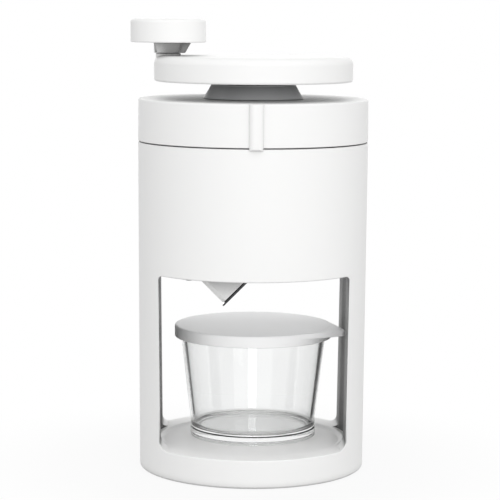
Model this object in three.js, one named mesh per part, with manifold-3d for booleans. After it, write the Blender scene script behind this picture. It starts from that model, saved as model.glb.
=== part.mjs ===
// Ice shaver with a crank. Millimetres, +Z up. The origin is the middle of the pad that it stands
// on, and the crank turns about the Z axis. The front, where the bowl slides out, faces -Y.
import * as THREE from "three";
import { mergeVertices } from "three/addons/utils/BufferGeometryUtils.js";
import Module from "manifold-3d";

const wasm = await Module();
wasm.setup();

// Clearances
const overrun = 4;
const seat_gap = 0.3;
const slip_gap = 0.4;
const turn_gap = 0.5;
const run_gap = 0.2;

// Facets: sides of the wide, knob, hidden, small and screw sized rounds, and a fillet's steps
const round_steps = 40;
const knob_steps = 32;
const middle_steps = 24;
const small_steps = 12;
const screw_steps = 8;
const arc_steps = 4;
const arc_chord = 1;
const coil_steps = 8;
const wire_sides = 5;

// Body: hopper wall, posts and base
const body_height = 186.2;
const rim_radius = 65;
const body_draft = 1;
const foot_rise = 0.4;
const base_edge_fillet = 1.4;
const rim_edge_fillet = 0.6;
const shell_wall = 3.8;
const post_depth = 10.4;
const sill_height = 16.4;
const tray_depth = 1.6;
const tray_floor = 3;
const base_wall = 4.5;
const window_top = 114.1;
const window_inset = 1.8;
const window_draft = 1.1;
const window_corner = 2.2;
const lip_thickness = 4.3;
const rebate_wall = 2.2;
const rebate_depth = 2.9;
const key_count = 3;
const key_width = 5;
const key_reach = 1.5;

// Base cover and the soft pad that it stands on
const cover_thickness = 2.6;
const cover_recess = 0.6;
const pad_margin = 13.5;
const pad_thickness = 2.4;
const pad_edge = 0.5;
const cover_screw_inset = 7;
const cover_boss_radius = 4;

// Screws that close housings from below
const screw_shank = 1.4;
const screw_head = 2.9;
const screw_head_height = 1.6;
const screw_hole = 1.7;
const screw_bite = 7;

// Ice chamber
const chamber_lift = 0.7;
const chamber_floor = 3.2;
const chamber_wall = 2.6;
const chamber_corner = 1.6;
const flange_sink = 0.2;
const groove_depth = 1.5;
const groove_width = 6;
const groove_run = 7.5;

// Blade, its 45 degree holder and the mouth that the shavings fall through
const blade_drop_share = 0.2885;
const apex_side_share = 0.2949;
const blade_tail = 1;
const blade_thickness = 1.2;
const blade_bevel = 2.4;
const blade_rise = 0.5;
const blade_inset = 8.1;
const blade_back = 4;
const mouth_width = 3.4;
const holder_plate = 3;
const holder_ear = 8;
const holder_ear_room = 3;
const holder_ear_back = 4;
const holder_chamfer = 2.2;
const ear_screw_inset = 4.2;
const ear_screw_share = 0.65;
const blade_screw_up = 9;
const blade_screw_head = 2.2;
const blade_screw_depth = 1;
const blade_screw_length = 7;

// Lid
const seam_gap = 0.6;
const lid_height = 23.6;
const lid_draft = 0.1;
const lid_wall = 2.6;
const lid_roof = 3;
const lid_fillet = 0.8;
const lid_lower_edge = 0.4;
const rib_width = 8.4;
const rib_proud = 2.3;
const rib_round = 3.5;
const rib_tail = 1.2;
const rib_end_round = 1.2;
const lid_screw_inset = 10.8;
const lid_boss_radius = 3.8;

// Inner lid plate with its spigot and key lugs
const inner_floor = 2.6;
const inner_depth = 6.2;
const inner_ring = 2.4;
const spigot_wall = 2.4;
const lug_width = 5;
const lug_reach = 1.2;

// Neck and bush
const neck_foot_radius = 28;
const neck_waist_radius = 24;
const neck_height = 7.75;
const neck_land = 0.6;
const neck_wall = 2.6;
const neck_tube_radius = 12;
const neck_tube_drop = 4.6;
const neck_screw_inset = 3.8;
const neck_boss_radius = 3.6;
const bush_wall = 2.4;
const bush_flange = 2.2;
const bush_flange_thickness = 1.6;

// Shaft
const journal_radius = 6;
const rod_radius = 5;
const flat_share = 0.72;
const collar_radius = 9.5;
const collar_height = 2.6;
const thread_radius = 4;
const washer_thickness = 1;
const washer_radius = 9;
const nut_across = 13;
const nut_height = 3.8;
const clip_radius = 8;
const clip_thickness = 1.2;
const clip_land = 1.4;
const groove_sink = 1.2;

// Crank disc
const crank_setback = 8.9;
const crank_height = 14.1;
const crank_fillet = 5.2;
const crank_wall = 2.4;
const crank_lower_edge = 1.3;
const crank_gap = 1.7;
const plate_thickness = 2.6;
const plate_recess = 0.8;
const plate_rib_height = 4;
const plate_rib_width = 1.8;
const plate_rib_count = 6;
const hub_radius = 13;
const hub_height = 1.6;
const throat_radius = 24.7;
const crank_screw_shift = 6.4;
const crank_boss_radius = 3.8;

// Knob, its post and socket
const knob_inset = 8.05;
const knob_radius = 21.25;
const knob_height = 13.05;
const knob_top_fillet = 1.9;
const knob_lower_fillet = 0.8;
const knob_wall = 2.5;
const knob_floor = 2.4;
const knob_hub_radius = 7.5;
const knob_hub_height = 5;
const knob_cap_thickness = 2.2;
const knob_cap_inset = 2.2;
const knob_step = 1.4;
const post_radius = 7;
const post_show = 1.25;
const post_foot = 4;
const spindle_radius = 4;
const spindle_over = 1.9;
const spindle_groove = 0.8;
const spindle_clip = 6;
const spindle_clip_thickness = 0.9;
const socket_height = 5.65;
const socket_front_flare = 1.3;
const socket_back_top = 12.8;
const socket_back_foot = 9.5;
const socket_flat = 8;
const socket_front_cut = 3.4;
const socket_corner = 0.9;

// Gripper and spring
const gripper_slip = 7.2;
const gripper_thickness = 3;
const spike_clearance = 5;
const gripper_rim = 2.4;
const gripper_rim_height = 3.2;
const gripper_hub_radius = 9.5;
const gripper_hub_height = 4.8;
const gripper_rib_count = 6;
const gripper_rib_width = 2.2;
const gripper_rib_height = 2.6;
const spike_length = 6;
const spike_radius = 2;
const spike_tip = 0.5;
const outer_spikes = 8;
const inner_spikes = 4;
const outer_spike_share = 0.8;
const inner_spike_share = 0.45;
const spring_wire = 0.7;
const spring_clear = 2.2;
const spring_turns = 6;

// Bowl and its soft lid
const bowl_side = 1.2;
const bowl_setback = 14;
const bowl_room = 6.1;
const bowl_taper = 6;
const foot_height = 3.6;
const foot_fillet = 1;
const waist_draw = 1.1;
const waist_height = 5.4;
const bowl_height = 62.3;
const glass_wall = 2.7;
const glass_floor = 5.4;
const glass_corner = 5;
const glass_lip = 1;
const under_foot = 0.7;
const under_foot_rim = 3.2;
const bowl_lid_slip = 0.7;
const bowl_lid_fillet = 1.3;
const bowl_lid_roof = 1.8;
const bowl_lid_skirt = 6.9;
const bowl_lid_skirt_wall = 2.3;
const plug_wall = 1.7;
const plug_depth = 3.6;
const tab_room = 1.7;
const tab_tip_ahead = 8;
const tab_tip_radius = 5;
const tab_thickness = 3;
const tab_drop = 0.2;
const tab_bite = 1.2;

// Places worked out from the sizes above
const full = Math.PI * 2;
const wedge_slope = Math.PI / 4;
const base_radius = rim_radius - body_draft;
const bore_radius = rim_radius - post_depth;
const window_top_half = bore_radius - window_inset;
const window_base_half = window_top_half - window_draft;
const shell_inner = rim_radius - shell_wall;
const rebate_radius = rim_radius - rebate_wall;
const rebate_z = body_height - rebate_depth;
const lip_top = window_top + lip_thickness;
const tray_z = sill_height - tray_depth;
const cavity_top = tray_z - tray_floor;
const cavity_radius = base_radius - base_wall;
const pad_radius = cavity_radius - pad_margin;
const cover_screw_radius = cavity_radius - cover_screw_inset;
const chamber_base = window_top + chamber_lift;
const chamber_top = body_height - flange_sink;
const ice_floor = chamber_base + chamber_floor;
const chamber_outer = bore_radius - slip_gap;
const chamber_inner = chamber_outer - chamber_wall;
const blade_front = chamber_inner - blade_inset;
const blade_drop = bore_radius * blade_drop_share;
const apex_side = bore_radius * apex_side_share;
const holder_top = chamber_base - seat_gap;
const apex_z = chamber_base - blade_drop;
const lid_base = body_height + seam_gap;
const lid_top = lid_base + lid_height;
const lid_under = lid_top - lid_roof;
const inner_seat = body_height + seat_gap;
const spigot_base = inner_seat - inner_depth;
const spigot_radius = chamber_inner - slip_gap;
const lid_screw_radius = spigot_radius - spigot_wall - lid_screw_inset;
const inner_radius = rim_radius - lid_wall - lid_draft - slip_gap;
const neck_base = lid_top + seat_gap;
const neck_top = neck_base + neck_height;
const neck_screw_radius = neck_waist_radius - neck_screw_inset;
const tube_base = lid_under - neck_tube_drop;
const crank_radius = rim_radius - crank_setback;
const crank_screw_radius = (crank_radius + throat_radius) / 2 - crank_screw_shift;
const disc_base = neck_top + crank_gap;
const disc_top = disc_base + crank_height;
const plate_base = disc_base + plate_recess;
const plate_top = plate_base + plate_thickness;
const plate_radius = crank_radius - crank_wall - seat_gap;
const hub_top = plate_top + hub_height;
const throat_base = neck_top + turn_gap;
const knob_throw = crank_radius - knob_inset;
const collar_top = spigot_base - turn_gap;
const collar_base = collar_top - collar_height;
const gripper_base = ice_floor + blade_rise + spike_clearance + spike_length;
const gripper_top = gripper_base + gripper_thickness;
const gripper_hub_top = gripper_top + gripper_hub_height;
const gripper_radius = chamber_inner - gripper_slip;
const clip_base = gripper_base - seat_gap - clip_thickness;
const rod_end = clip_base - clip_land;
const boss_top = disc_top - crank_fillet - seat_gap - turn_gap;
const post_base = boss_top + seat_gap;
const post_top = disc_top + post_show;
const socket_base = post_top + seat_gap;
const socket_top = socket_base + socket_height;
const knob_base = socket_top + seat_gap;
const knob_top = knob_base + knob_height;
const knob_hub_top = knob_base + knob_floor + knob_hub_height;
const spindle_top = knob_hub_top + spindle_over;
const bowl_z = tray_z + seat_gap;
const bowl_lid_radius = window_top_half - bowl_room - bowl_side;
const mouth_radius = bowl_lid_radius - bowl_lid_skirt_wall - bowl_lid_slip;
const foot_radius = mouth_radius - bowl_taper;
const waist_radius = foot_radius - waist_draw;
const tab_tip_side = bore_radius - tab_room;
const bowl_top = bowl_z + bowl_height;
const bowl_lid_under = bowl_top + seat_gap;
const bowl_lid_top = bowl_lid_under + bowl_lid_roof;

// Finishes
const finishes = {
  white_plastic: { color: 0xf1f1f0, roughness: 0.42, metalness: 0 },
  grey_plastic: { color: 0x6f7071, roughness: 0.5, metalness: 0 },
  inner_plastic: { color: 0xe7e8e8, roughness: 0.5, metalness: 0 },
  bearing_plastic: { color: 0xd9d6cc, roughness: 0.45, metalness: 0 },
  steel: { color: 0xb9bcc0, roughness: 0.3, metalness: 1 },
  screw_steel: { color: 0x9da1a6, roughness: 0.4, metalness: 1 },
  soft_grip: { color: 0xc9caca, roughness: 0.85, metalness: 0 },
  clear_glass: { color: 0xf3f7f7, roughness: 0.04, metalness: 0, transparent: true, opacity: 0.35 },
  soft_lid: { color: 0xe4e6e6, roughness: 0.6, metalness: 0, transparent: true, opacity: 0.9 },
};

function piece(name, geometry, finish) {
  geometry.computeVertexNormals();
  const mesh = new THREE.Mesh(geometry, new THREE.MeshStandardMaterial(finishes[finish]));
  mesh.name = name;
  return mesh;
}

// A closed solid from a geometry: shared corners merged, flat slivers dropped, faces turned outward.
function solid(source) {
  const bare = source.clone();
  bare.deleteAttribute("normal");
  bare.deleteAttribute("uv");
  const merged = mergeVertices(bare, 1e-4);
  const at = merged.attributes.position;
  const index = merged.index.array;
  const kept = [];
  let volume = 0;
  const a = new THREE.Vector3();
  const b = new THREE.Vector3();
  const c = new THREE.Vector3();
  for (let i = 0; i < index.length; i += 3) {
    const [p, q, r] = [index[i], index[i + 1], index[i + 2]];
    if (p === q || q === r || p === r) continue;
    a.fromBufferAttribute(at, p);
    b.fromBufferAttribute(at, q);
    c.fromBufferAttribute(at, r);
    volume += a.dot(b.cross(c));
    kept.push(p, q, r);
  }
  if (volume < 0) {
    for (let i = 0; i < kept.length; i += 3) [kept[i + 1], kept[i + 2]] = [kept[i + 2], kept[i + 1]];
  }
  return new wasm.Manifold(new wasm.Mesh({
    numProp: 3,
    vertProperties: new Float32Array(at.array),
    triVerts: new Uint32Array(kept),
  }));
}

function geometryOf(body) {
  const mesh = body.getMesh();
  const geometry = new THREE.BufferGeometry();
  geometry.setAttribute("position", new THREE.BufferAttribute(new Float32Array(mesh.vertProperties), 3));
  geometry.setIndex(new THREE.BufferAttribute(new Uint32Array(mesh.triVerts), 1));
  return geometry;
}

function joined(first, ...others) {
  return others.reduce((body, other) => body.add(other), first);
}

function cut(first, ...others) {
  return others.reduce((body, other) => body.subtract(other), first);
}

// Corners of an outline, each [x, y] or [x, y, radius], with the given ones rounded.
function rounded(corners) {
  const points = [];
  const count = corners.length;
  corners.forEach(([x, y, radius], i) => {
    const here = new THREE.Vector2(x, y);
    if (!radius) {
      points.push(here);
      return;
    }
    const before = corners[(i + count - 1) % count];
    const after = corners[(i + 1) % count];
    const back = new THREE.Vector2(before[0], before[1]).sub(here);
    const ahead = new THREE.Vector2(after[0], after[1]).sub(here);
    const backRoom = before[2] ? back.length() / 2 : back.length();
    const aheadRoom = after[2] ? ahead.length() / 2 : ahead.length();
    const room = Math.min(backRoom, aheadRoom);
    back.normalize();
    ahead.normalize();
    const half = Math.acos(Math.max(-1, Math.min(1, back.dot(ahead)))) / 2;
    const reach = Math.min(radius / Math.tan(half), room);
    const r = reach * Math.tan(half);
    const middle = back.clone().add(ahead).normalize().multiplyScalar(r / Math.sin(half)).add(here);
    const start = here.clone().addScaledVector(back, reach).sub(middle);
    const end = here.clone().addScaledVector(ahead, reach).sub(middle);
    const from = Math.atan2(start.y, start.x);
    let turn = Math.atan2(end.y, end.x) - from;
    if (turn > Math.PI) turn -= full;
    if (turn < -Math.PI) turn += full;
    const steps = Math.min(arc_steps, Math.ceil(r / arc_chord));
    for (let k = 0; k <= steps; k++) {
      const angle = from + (turn * k) / steps;
      points.push(new THREE.Vector2(middle.x + r * Math.cos(angle), middle.y + r * Math.sin(angle)));
    }
  });
  return points;
}

// A ring or disc turned about Z from its half section, given as [radius, height] corners.
function turned(corners, steps = round_steps) {
  const points = rounded(corners);
  points.push(points[0].clone());
  return solid(new THREE.LatheGeometry(points, steps).rotateX(Math.PI / 2));
}

// A plug about Z between two heights, straight or tapered.
function plug(radius, low, high, steps = small_steps, topRadius = radius) {
  return turned([[0, low], [radius, low], [topRadius, high], [0, high]], steps);
}

// A flat outline in X and Y raised between two heights.
function raised(corners, low, high) {
  const shape = new THREE.Shape(rounded(corners));
  const block = new THREE.ExtrudeGeometry(shape, { depth: high - low, bevelEnabled: false });
  return solid(block.translate(0, 0, low));
}

// An outline in X and Z carried along Y from front to back.
function carried(corners, front, back) {
  const shape = new THREE.Shape(rounded(corners));
  const block = new THREE.ExtrudeGeometry(shape, { depth: back - front, bevelEnabled: false });
  return solid(block.rotateX(Math.PI / 2).translate(0, back, 0));
}

function block(x0, x1, y0, y1, z0, z1) {
  const box = new THREE.BoxGeometry(x1 - x0, y1 - y0, z1 - z0);
  return solid(box.translate((x0 + x1) / 2, (y0 + y1) / 2, (z0 + z1) / 2));
}

function turnedTo(body, angle) {
  return body.rotate([0, 0, THREE.MathUtils.radToDeg(angle)]);
}

function around(count, start, radius) {
  return Array.from({ length: count }, (_, i) => {
    const angle = start + (full * i) / count;
    return { angle, x: radius * Math.cos(angle), y: radius * Math.sin(angle) };
  });
}

// Where the screws, keys and lugs stand round the axis
const cover_places = around(3, Math.PI / 2, cover_screw_radius);
const key_places = around(key_count, Math.PI / 6, rebate_radius);
const lug_places = around(key_count, -Math.PI / 6, spigot_radius);
const lid_places = around(3, Math.PI / 6, lid_screw_radius);
const neck_places = around(3, Math.PI / 2, neck_screw_radius);
const crank_places = around(3, 0, crank_screw_radius);

// Body

// The body is one moulding: a drafted outer wall, a bore that the bowl stands in and the ice
// chamber drops through, and a window cut straight from front to back that leaves two posts.
function bodyFrame() {
  let frame = turned([
    [cavity_radius, foot_rise],
    [base_radius, foot_rise, base_edge_fillet],
    [rim_radius, body_height, rim_edge_fillet],
    [rebate_radius, body_height],
    [rebate_radius, rebate_z],
    [shell_inner, rebate_z],
    [shell_inner, lip_top],
    [bore_radius, lip_top],
    [bore_radius, tray_z],
    [0, tray_z],
    [0, cavity_top],
    [cavity_radius, cavity_top],
  ]);
  const window = carried([
    [-window_base_half, sill_height],
    [window_base_half, sill_height],
    [window_top_half, window_top, window_corner],
    [-window_top_half, window_top, window_corner],
  ], -rim_radius - overrun, rim_radius + overrun);
  frame = cut(frame, window);
  const bossFoot = foot_rise + cover_recess + cover_thickness + seat_gap;
  for (const { x, y } of cover_places) {
    const boss = plug(cover_boss_radius, bossFoot, cavity_top + tray_floor / 2).translate([x, y, 0]);
    const hole = plug(screw_hole, bossFoot - overrun, bossFoot + screw_bite, screw_steps);
    frame = cut(joined(frame, boss), hole.translate([x, y, 0]));
  }
  for (const { angle } of key_places) {
    const inner = rebate_radius - key_reach;
    const key = block(inner, rebate_radius + rebate_wall / 2, -key_width / 2, key_width / 2,
      rebate_z - rebate_wall / 2, chamber_top);
    frame = joined(frame, turnedTo(key, angle));
  }
  return piece("body_frame", geometryOf(frame), "white_plastic");
}

function baseCover() {
  const low = foot_rise + cover_recess;
  const high = low + cover_thickness;
  const roof = pad_thickness + seat_gap;
  let cover = turned([
    [0, roof],
    [pad_radius + seat_gap, roof],
    [pad_radius + seat_gap, low],
    [cavity_radius - seat_gap, low],
    [cavity_radius - seat_gap, high],
    [0, high],
  ], middle_steps);
  for (const { x, y } of cover_places) {
    const head = plug(screw_head + seat_gap, low - overrun, low + screw_head_height / 2, screw_steps);
    const hole = plug(screw_hole, low - overrun, high + overrun, screw_steps);
    cover = cut(cover, head.translate([x, y, 0]), hole.translate([x, y, 0]));
  }
  return piece("base_cover", geometryOf(cover), "inner_plastic");
}

function footPad() {
  const pad = turned([
    [0, 0],
    [pad_radius, 0, pad_edge],
    [pad_radius, pad_thickness],
    [0, pad_thickness],
  ], middle_steps);
  return piece("foot_pad", geometryOf(pad), "soft_grip");
}

// A pan head screw that points up, with its head's top face at height zero of its own frame.
function panScrew(name, length) {
  const body = turned([
    [0, -screw_head_height],
    [screw_head, -screw_head_height, screw_head_height / 3],
    [screw_head, 0],
    [screw_shank, 0],
    [screw_shank, length],
    [0, length],
  ], screw_steps);
  return piece(name, geometryOf(body), "screw_steel");
}

function placed(mesh, x, y, z) {
  mesh.position.set(x, y, z);
  return mesh;
}

function coverScrews() {
  const seat = foot_rise + cover_recess + screw_head_height / 2 - seat_gap / 2;
  const length = cover_thickness + screw_bite - screw_head_height;
  return cover_places.map(({ x, y }, i) => placed(panScrew(`cover_screw_${i + 1}`, length), x, y, seat));
}

// Ice chamber and blade

// X of a point on the blade's outer face at a height, and the same for a face set back from it.
function bladeX(z, setback = 0) {
  return -apex_side + (z - apex_z) / Math.tan(wedge_slope) - setback / Math.sin(wedge_slope);
}

// A cup that hangs by its flange in the body's rebate. Its floor has the blade's slanted mouth.
function iceChamber() {
  let cup = turned([
    [0, chamber_base],
    [chamber_outer, chamber_base],
    [chamber_outer, rebate_z + seat_gap],
    [rebate_radius - seat_gap, rebate_z + seat_gap],
    [rebate_radius - seat_gap, chamber_top],
    [chamber_inner, chamber_top],
    [chamber_inner, ice_floor, chamber_corner],
    [0, ice_floor],
  ]);
  const low = chamber_base - overrun;
  const high = ice_floor + overrun;
  const back = blade_thickness + seat_gap;
  const mouth = carried([
    [bladeX(low, back), low],
    [bladeX(low) + mouth_width, low],
    [bladeX(high) + mouth_width, high],
    [bladeX(high, back), high],
  ], -blade_front - slip_gap, -blade_back + slip_gap);
  cup = cut(cup, mouth);
  for (const { angle } of key_places) {
    const inner = rebate_radius - key_reach - seat_gap;
    const wide = key_width / 2 + seat_gap;
    const notch = block(inner, rebate_radius + overrun, -wide, wide,
      rebate_z - overrun, body_height + overrun);
    cup = cut(cup, turnedTo(notch, angle));
  }
  for (const { angle } of lug_places) {
    const groove = block(chamber_inner - overrun, chamber_inner + groove_depth,
      -groove_width / 2, groove_width / 2, chamber_top - groove_run, chamber_top + overrun);
    cup = cut(cup, turnedTo(groove, angle));
  }
  for (const { x, y } of earScrewPlaces()) {
    const hole = plug(screw_hole, chamber_base - overrun, chamber_base + chamber_floor / 2, screw_steps);
    cup = cut(cup, hole.translate([x, y, 0]));
  }
  return piece("ice_chamber", geometryOf(cup), "inner_plastic");
}

// The ear lies on the side away from the blade and reaches as far forward as the bore lets it.
function earPlate() {
  const inner = 2 * -apex_side - bladeX(holder_top);
  const outer = inner - holder_ear;
  return { inner, outer, front: -Math.sqrt((bore_radius - holder_ear_room) ** 2 - outer ** 2) };
}

function earScrewPlaces() {
  const { inner, front } = earPlate();
  const rear = -holder_ear_back - ear_screw_inset;
  const span = rear - (front + ear_screw_inset);
  return [rear - span * ear_screw_share, rear].map((y) => ({ x: inner - ear_screw_inset, y }));
}

function bladeScrewPlaces() {
  const span = blade_front - blade_back;
  return [-blade_front + span / 4, -blade_back - span / 4];
}

// The blade's screws lie square to its face: this turns a Z axis solid onto the 45 degree face.
function ontoBlade(body, y) {
  const up = blade_screw_up * Math.SQRT1_2;
  const tilt = 90 + THREE.MathUtils.radToDeg(wedge_slope);
  return body.rotate([0, tilt, 0]).translate([-apex_side + up, y, apex_z + up]);
}

// The holder is a 90 degree wedge under the chamber's floor, with an ear that carries its screws.
// Its slope away from the blade is chamfered at the front.
function bladeHolder() {
  const setback = blade_thickness + seat_gap;
  const nose = [-apex_side - setback * Math.SQRT1_2, apex_z + setback * Math.SQRT1_2];
  const ear = earPlate();
  let holder = carried([
    nose,
    [bladeX(holder_top, setback), holder_top],
    [ear.inner, holder_top],
  ], -blade_front, -blade_back);
  const plate = block(ear.outer, -apex_side, ear.front, -holder_ear_back,
    holder_top - holder_plate, holder_top);
  const cutter = raised([
    [-overrun, -overrun],
    [holder_chamfer + overrun, -overrun],
    [-overrun, holder_chamfer + overrun],
  ], -overrun, (holder_top - apex_z) / Math.sin(wedge_slope) + overrun);
  const chamfer = cutter.rotate([0, -THREE.MathUtils.radToDeg(wedge_slope), 0])
    .translate([nose[0], -blade_front, nose[1]]);
  holder = joined(cut(holder, chamfer), plate);
  for (const { x, y } of earScrewPlaces()) {
    const hole = plug(screw_hole, holder_top - holder_plate - overrun, holder_top + overrun, screw_steps);
    holder = cut(holder, hole.translate([x, y, 0]));
  }
  for (const y of bladeScrewPlaces()) {
    const hole = plug(screw_hole, -overrun, blade_screw_length + seat_gap, screw_steps);
    holder = cut(holder, ontoBlade(hole.rotate([180, 0, 0]), y));
  }
  return piece("blade_holder", geometryOf(holder), "white_plastic");
}

// A steel strip on the wedge's right face, ground on its inner side to an edge that stands just
// above the chamber's floor.
function blade() {
  const edge = ice_floor + blade_rise;
  const tail = blade_tail * Math.SQRT1_2;
  const inward = blade_thickness * Math.SQRT1_2;
  const bevel = blade_bevel * Math.SQRT1_2;
  let strip = carried([
    [-apex_side - tail, apex_z - tail],
    [bladeX(edge), edge],
    [bladeX(edge) - inward - bevel, edge + inward - bevel],
    [-apex_side - tail - inward, apex_z - tail + inward],
  ], -blade_front, -blade_back);
  for (const y of bladeScrewPlaces()) {
    const head = blade_screw_head + seat_gap;
    const sink = turned([
      [0, overrun],
      [head, overrun],
      [head, 0],
      [screw_hole, -blade_screw_depth],
      [screw_hole, -blade_thickness - overrun],
      [0, -blade_thickness - overrun],
    ], screw_steps);
    strip = cut(strip, ontoBlade(sink, y));
  }
  return piece("blade", geometryOf(strip), "steel");
}

function bladeScrews() {
  return bladeScrewPlaces().map((y, i) => {
    const body = turned([
      [0, 0],
      [blade_screw_head, 0],
      [screw_shank, -blade_screw_depth],
      [screw_shank, -blade_screw_length],
      [0, -blade_screw_length],
    ], screw_steps);
    return piece(`blade_screw_${i + 1}`, geometryOf(ontoBlade(body, y)), "screw_steel");
  });
}

function holderScrews() {
  const seat = holder_top - holder_plate - seat_gap;
  const length = holder_plate + chamber_floor / 2;
  return earScrewPlaces().map(({ x, y }, i) =>
    placed(panScrew(`holder_screw_${i + 1}`, length), x, y, seat));
}

// Lid

// A short drafted cap with a soft upper edge. The half round rib on its front runs just past the
// seam, where it stands clear of the body.
function lidCap() {
  const upper = rim_radius - lid_draft;
  let cap = turned([
    [rim_radius - lid_wall, lid_base],
    [rim_radius, lid_base, lid_lower_edge],
    [upper, lid_top, lid_fillet],
    [neck_tube_radius + seat_gap, lid_top],
    [neck_tube_radius + seat_gap, lid_under],
    [upper - lid_wall, lid_under],
  ]);
  const low = lid_base - rib_tail;
  const outline = [
    [-rib_width / 2, -upper + lid_wall / 2],
    [-rib_width / 2, -upper - rib_proud, rib_round],
    [rib_width / 2, -upper - rib_proud, rib_round],
    [rib_width / 2, -upper + lid_wall / 2],
  ];
  const side = new THREE.Shape(rounded([
    [-upper + lid_wall / 2, low],
    [-upper - rib_proud, low, rib_end_round],
    [-upper - rib_proud, lid_top, lid_fillet],
    [-upper + lid_wall / 2, lid_top],
  ]));
  const slab = new THREE.ExtrudeGeometry(side, { depth: rib_width + 2 * overrun, bevelEnabled: false });
  slab.applyMatrix4(new THREE.Matrix4().makeBasis(
    new THREE.Vector3(0, 1, 0), new THREE.Vector3(0, 0, 1), new THREE.Vector3(1, 0, 0)));
  slab.translate(-rib_width / 2 - overrun, 0, 0);
  const clear = turned([
    [0, low - overrun],
    [rim_radius + slip_gap, low - overrun],
    [rim_radius + slip_gap, lid_base + lid_lower_edge],
    [0, lid_base + lid_lower_edge],
  ]);
  const rib = cut(raised(outline, low, lid_top).intersect(solid(slab)), clear);
  cap = joined(cap, rib);
  for (const { x, y } of lid_places) {
    const foot = spigot_base + inner_floor + seat_gap;
    const boss = plug(lid_boss_radius, foot, lid_under + lid_roof / 2).translate([x, y, 0]);
    const hole = plug(screw_hole, foot - overrun, foot + screw_bite, screw_steps).translate([x, y, 0]);
    cap = cut(joined(cap, boss), hole);
  }
  for (const { x, y } of neck_places) {
    const hole = plug(screw_hole, lid_under - overrun, lid_top + overrun, screw_steps);
    cap = cut(cap, hole.translate([x, y, 0]));
  }
  return piece("lid_cap", geometryOf(cap), "white_plastic");
}

// The plate closes the lid below. Its spigot drops into the ice chamber, where three lugs in
// grooves keep the lid from turning with the crank.
function lidInner() {
  const under = inner_seat;
  let plate = turned([
    [journal_radius + turn_gap, spigot_base],
    [spigot_radius, spigot_base],
    [spigot_radius, under],
    [inner_radius, under],
    [inner_radius, under + inner_ring],
    [spigot_radius - spigot_wall, under + inner_ring],
    [spigot_radius - spigot_wall, spigot_base + inner_floor],
    [journal_radius + turn_gap, spigot_base + inner_floor],
  ], middle_steps);
  for (const { angle } of lug_places) {
    const lug = block(spigot_radius - spigot_wall / 2, spigot_radius + lug_reach,
      -lug_width / 2, lug_width / 2, spigot_base, under + inner_ring / 2);
    plate = joined(plate, turnedTo(lug, angle));
  }
  for (const { x, y } of lid_places) {
    const low = spigot_base - overrun;
    const head = plug(screw_head + seat_gap, low, spigot_base + inner_floor / 2, screw_steps);
    const hole = plug(screw_hole, low, spigot_base + inner_floor + overrun, screw_steps);
    plate = cut(plate, head.translate([x, y, 0]), hole.translate([x, y, 0]));
  }
  return piece("lid_inner", geometryOf(plate), "inner_plastic");
}

function lidScrews() {
  const seat = spigot_base + inner_floor / 2 - seat_gap / 2;
  const length = inner_floor / 2 + screw_bite;
  return lid_places.map(({ x, y }, i) => placed(panScrew(`lid_screw_${i + 1}`, length), x, y, seat));
}

// A cone on the lid that carries the crank's bush in a tube through the lid's roof.
function bearingNeck() {
  const roof = neck_top - neck_wall;
  const tube_inner = journal_radius + run_gap + bush_wall + run_gap;
  let neck = turned([
    [tube_inner, tube_base],
    [neck_tube_radius, tube_base],
    [neck_tube_radius, roof],
    [neck_waist_radius - neck_wall, roof],
    [neck_foot_radius - neck_wall, neck_base],
    [neck_foot_radius, neck_base],
    [neck_foot_radius, neck_base + neck_land / 2],
    [neck_waist_radius, neck_top - neck_land],
    [neck_waist_radius, neck_top],
    [tube_inner, neck_top],
  ], middle_steps);
  for (const { x, y } of neck_places) {
    const boss = plug(neck_boss_radius, neck_base, roof + neck_wall / 2).translate([x, y, 0]);
    const hole = plug(screw_hole, neck_base - overrun, roof, screw_steps).translate([x, y, 0]);
    const inside = plug(neck_foot_radius - neck_wall / 2, neck_base, neck_top, middle_steps,
      neck_waist_radius - neck_wall / 2);
    neck = cut(joined(neck, boss.intersect(inside)), hole);
  }
  return piece("bearing_neck", geometryOf(neck), "grey_plastic");
}

function neckScrews() {
  const seat = lid_under - seat_gap;
  const length = lid_roof + neck_height - neck_wall - seat_gap;
  return neck_places.map(({ x, y }, i) => placed(panScrew(`neck_screw_${i + 1}`, length), x, y, seat));
}

function bearingBush() {
  const inner = journal_radius + run_gap;
  const outer = inner + bush_wall;
  const flange = tube_base - seat_gap;
  const bush = turned([
    [inner, flange - bush_flange_thickness],
    [outer + bush_flange, flange - bush_flange_thickness],
    [outer + bush_flange, flange],
    [outer, flange],
    [outer, neck_top],
    [inner, neck_top],
  ], middle_steps);
  return piece("bearing_bush", geometryOf(bush), "bearing_plastic");
}

// Crank

// A round bar with two flats, as a profile across Z.
function flatted(radius, low, high, grow = 0) {
  const half = radius * flat_share + grow;
  const wide = radius + grow + overrun;
  const bar = plug(radius + grow, low, high, middle_steps);
  return bar.intersect(block(-half, half, -wide, wide, low - overrun, high + overrun));
}

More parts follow.
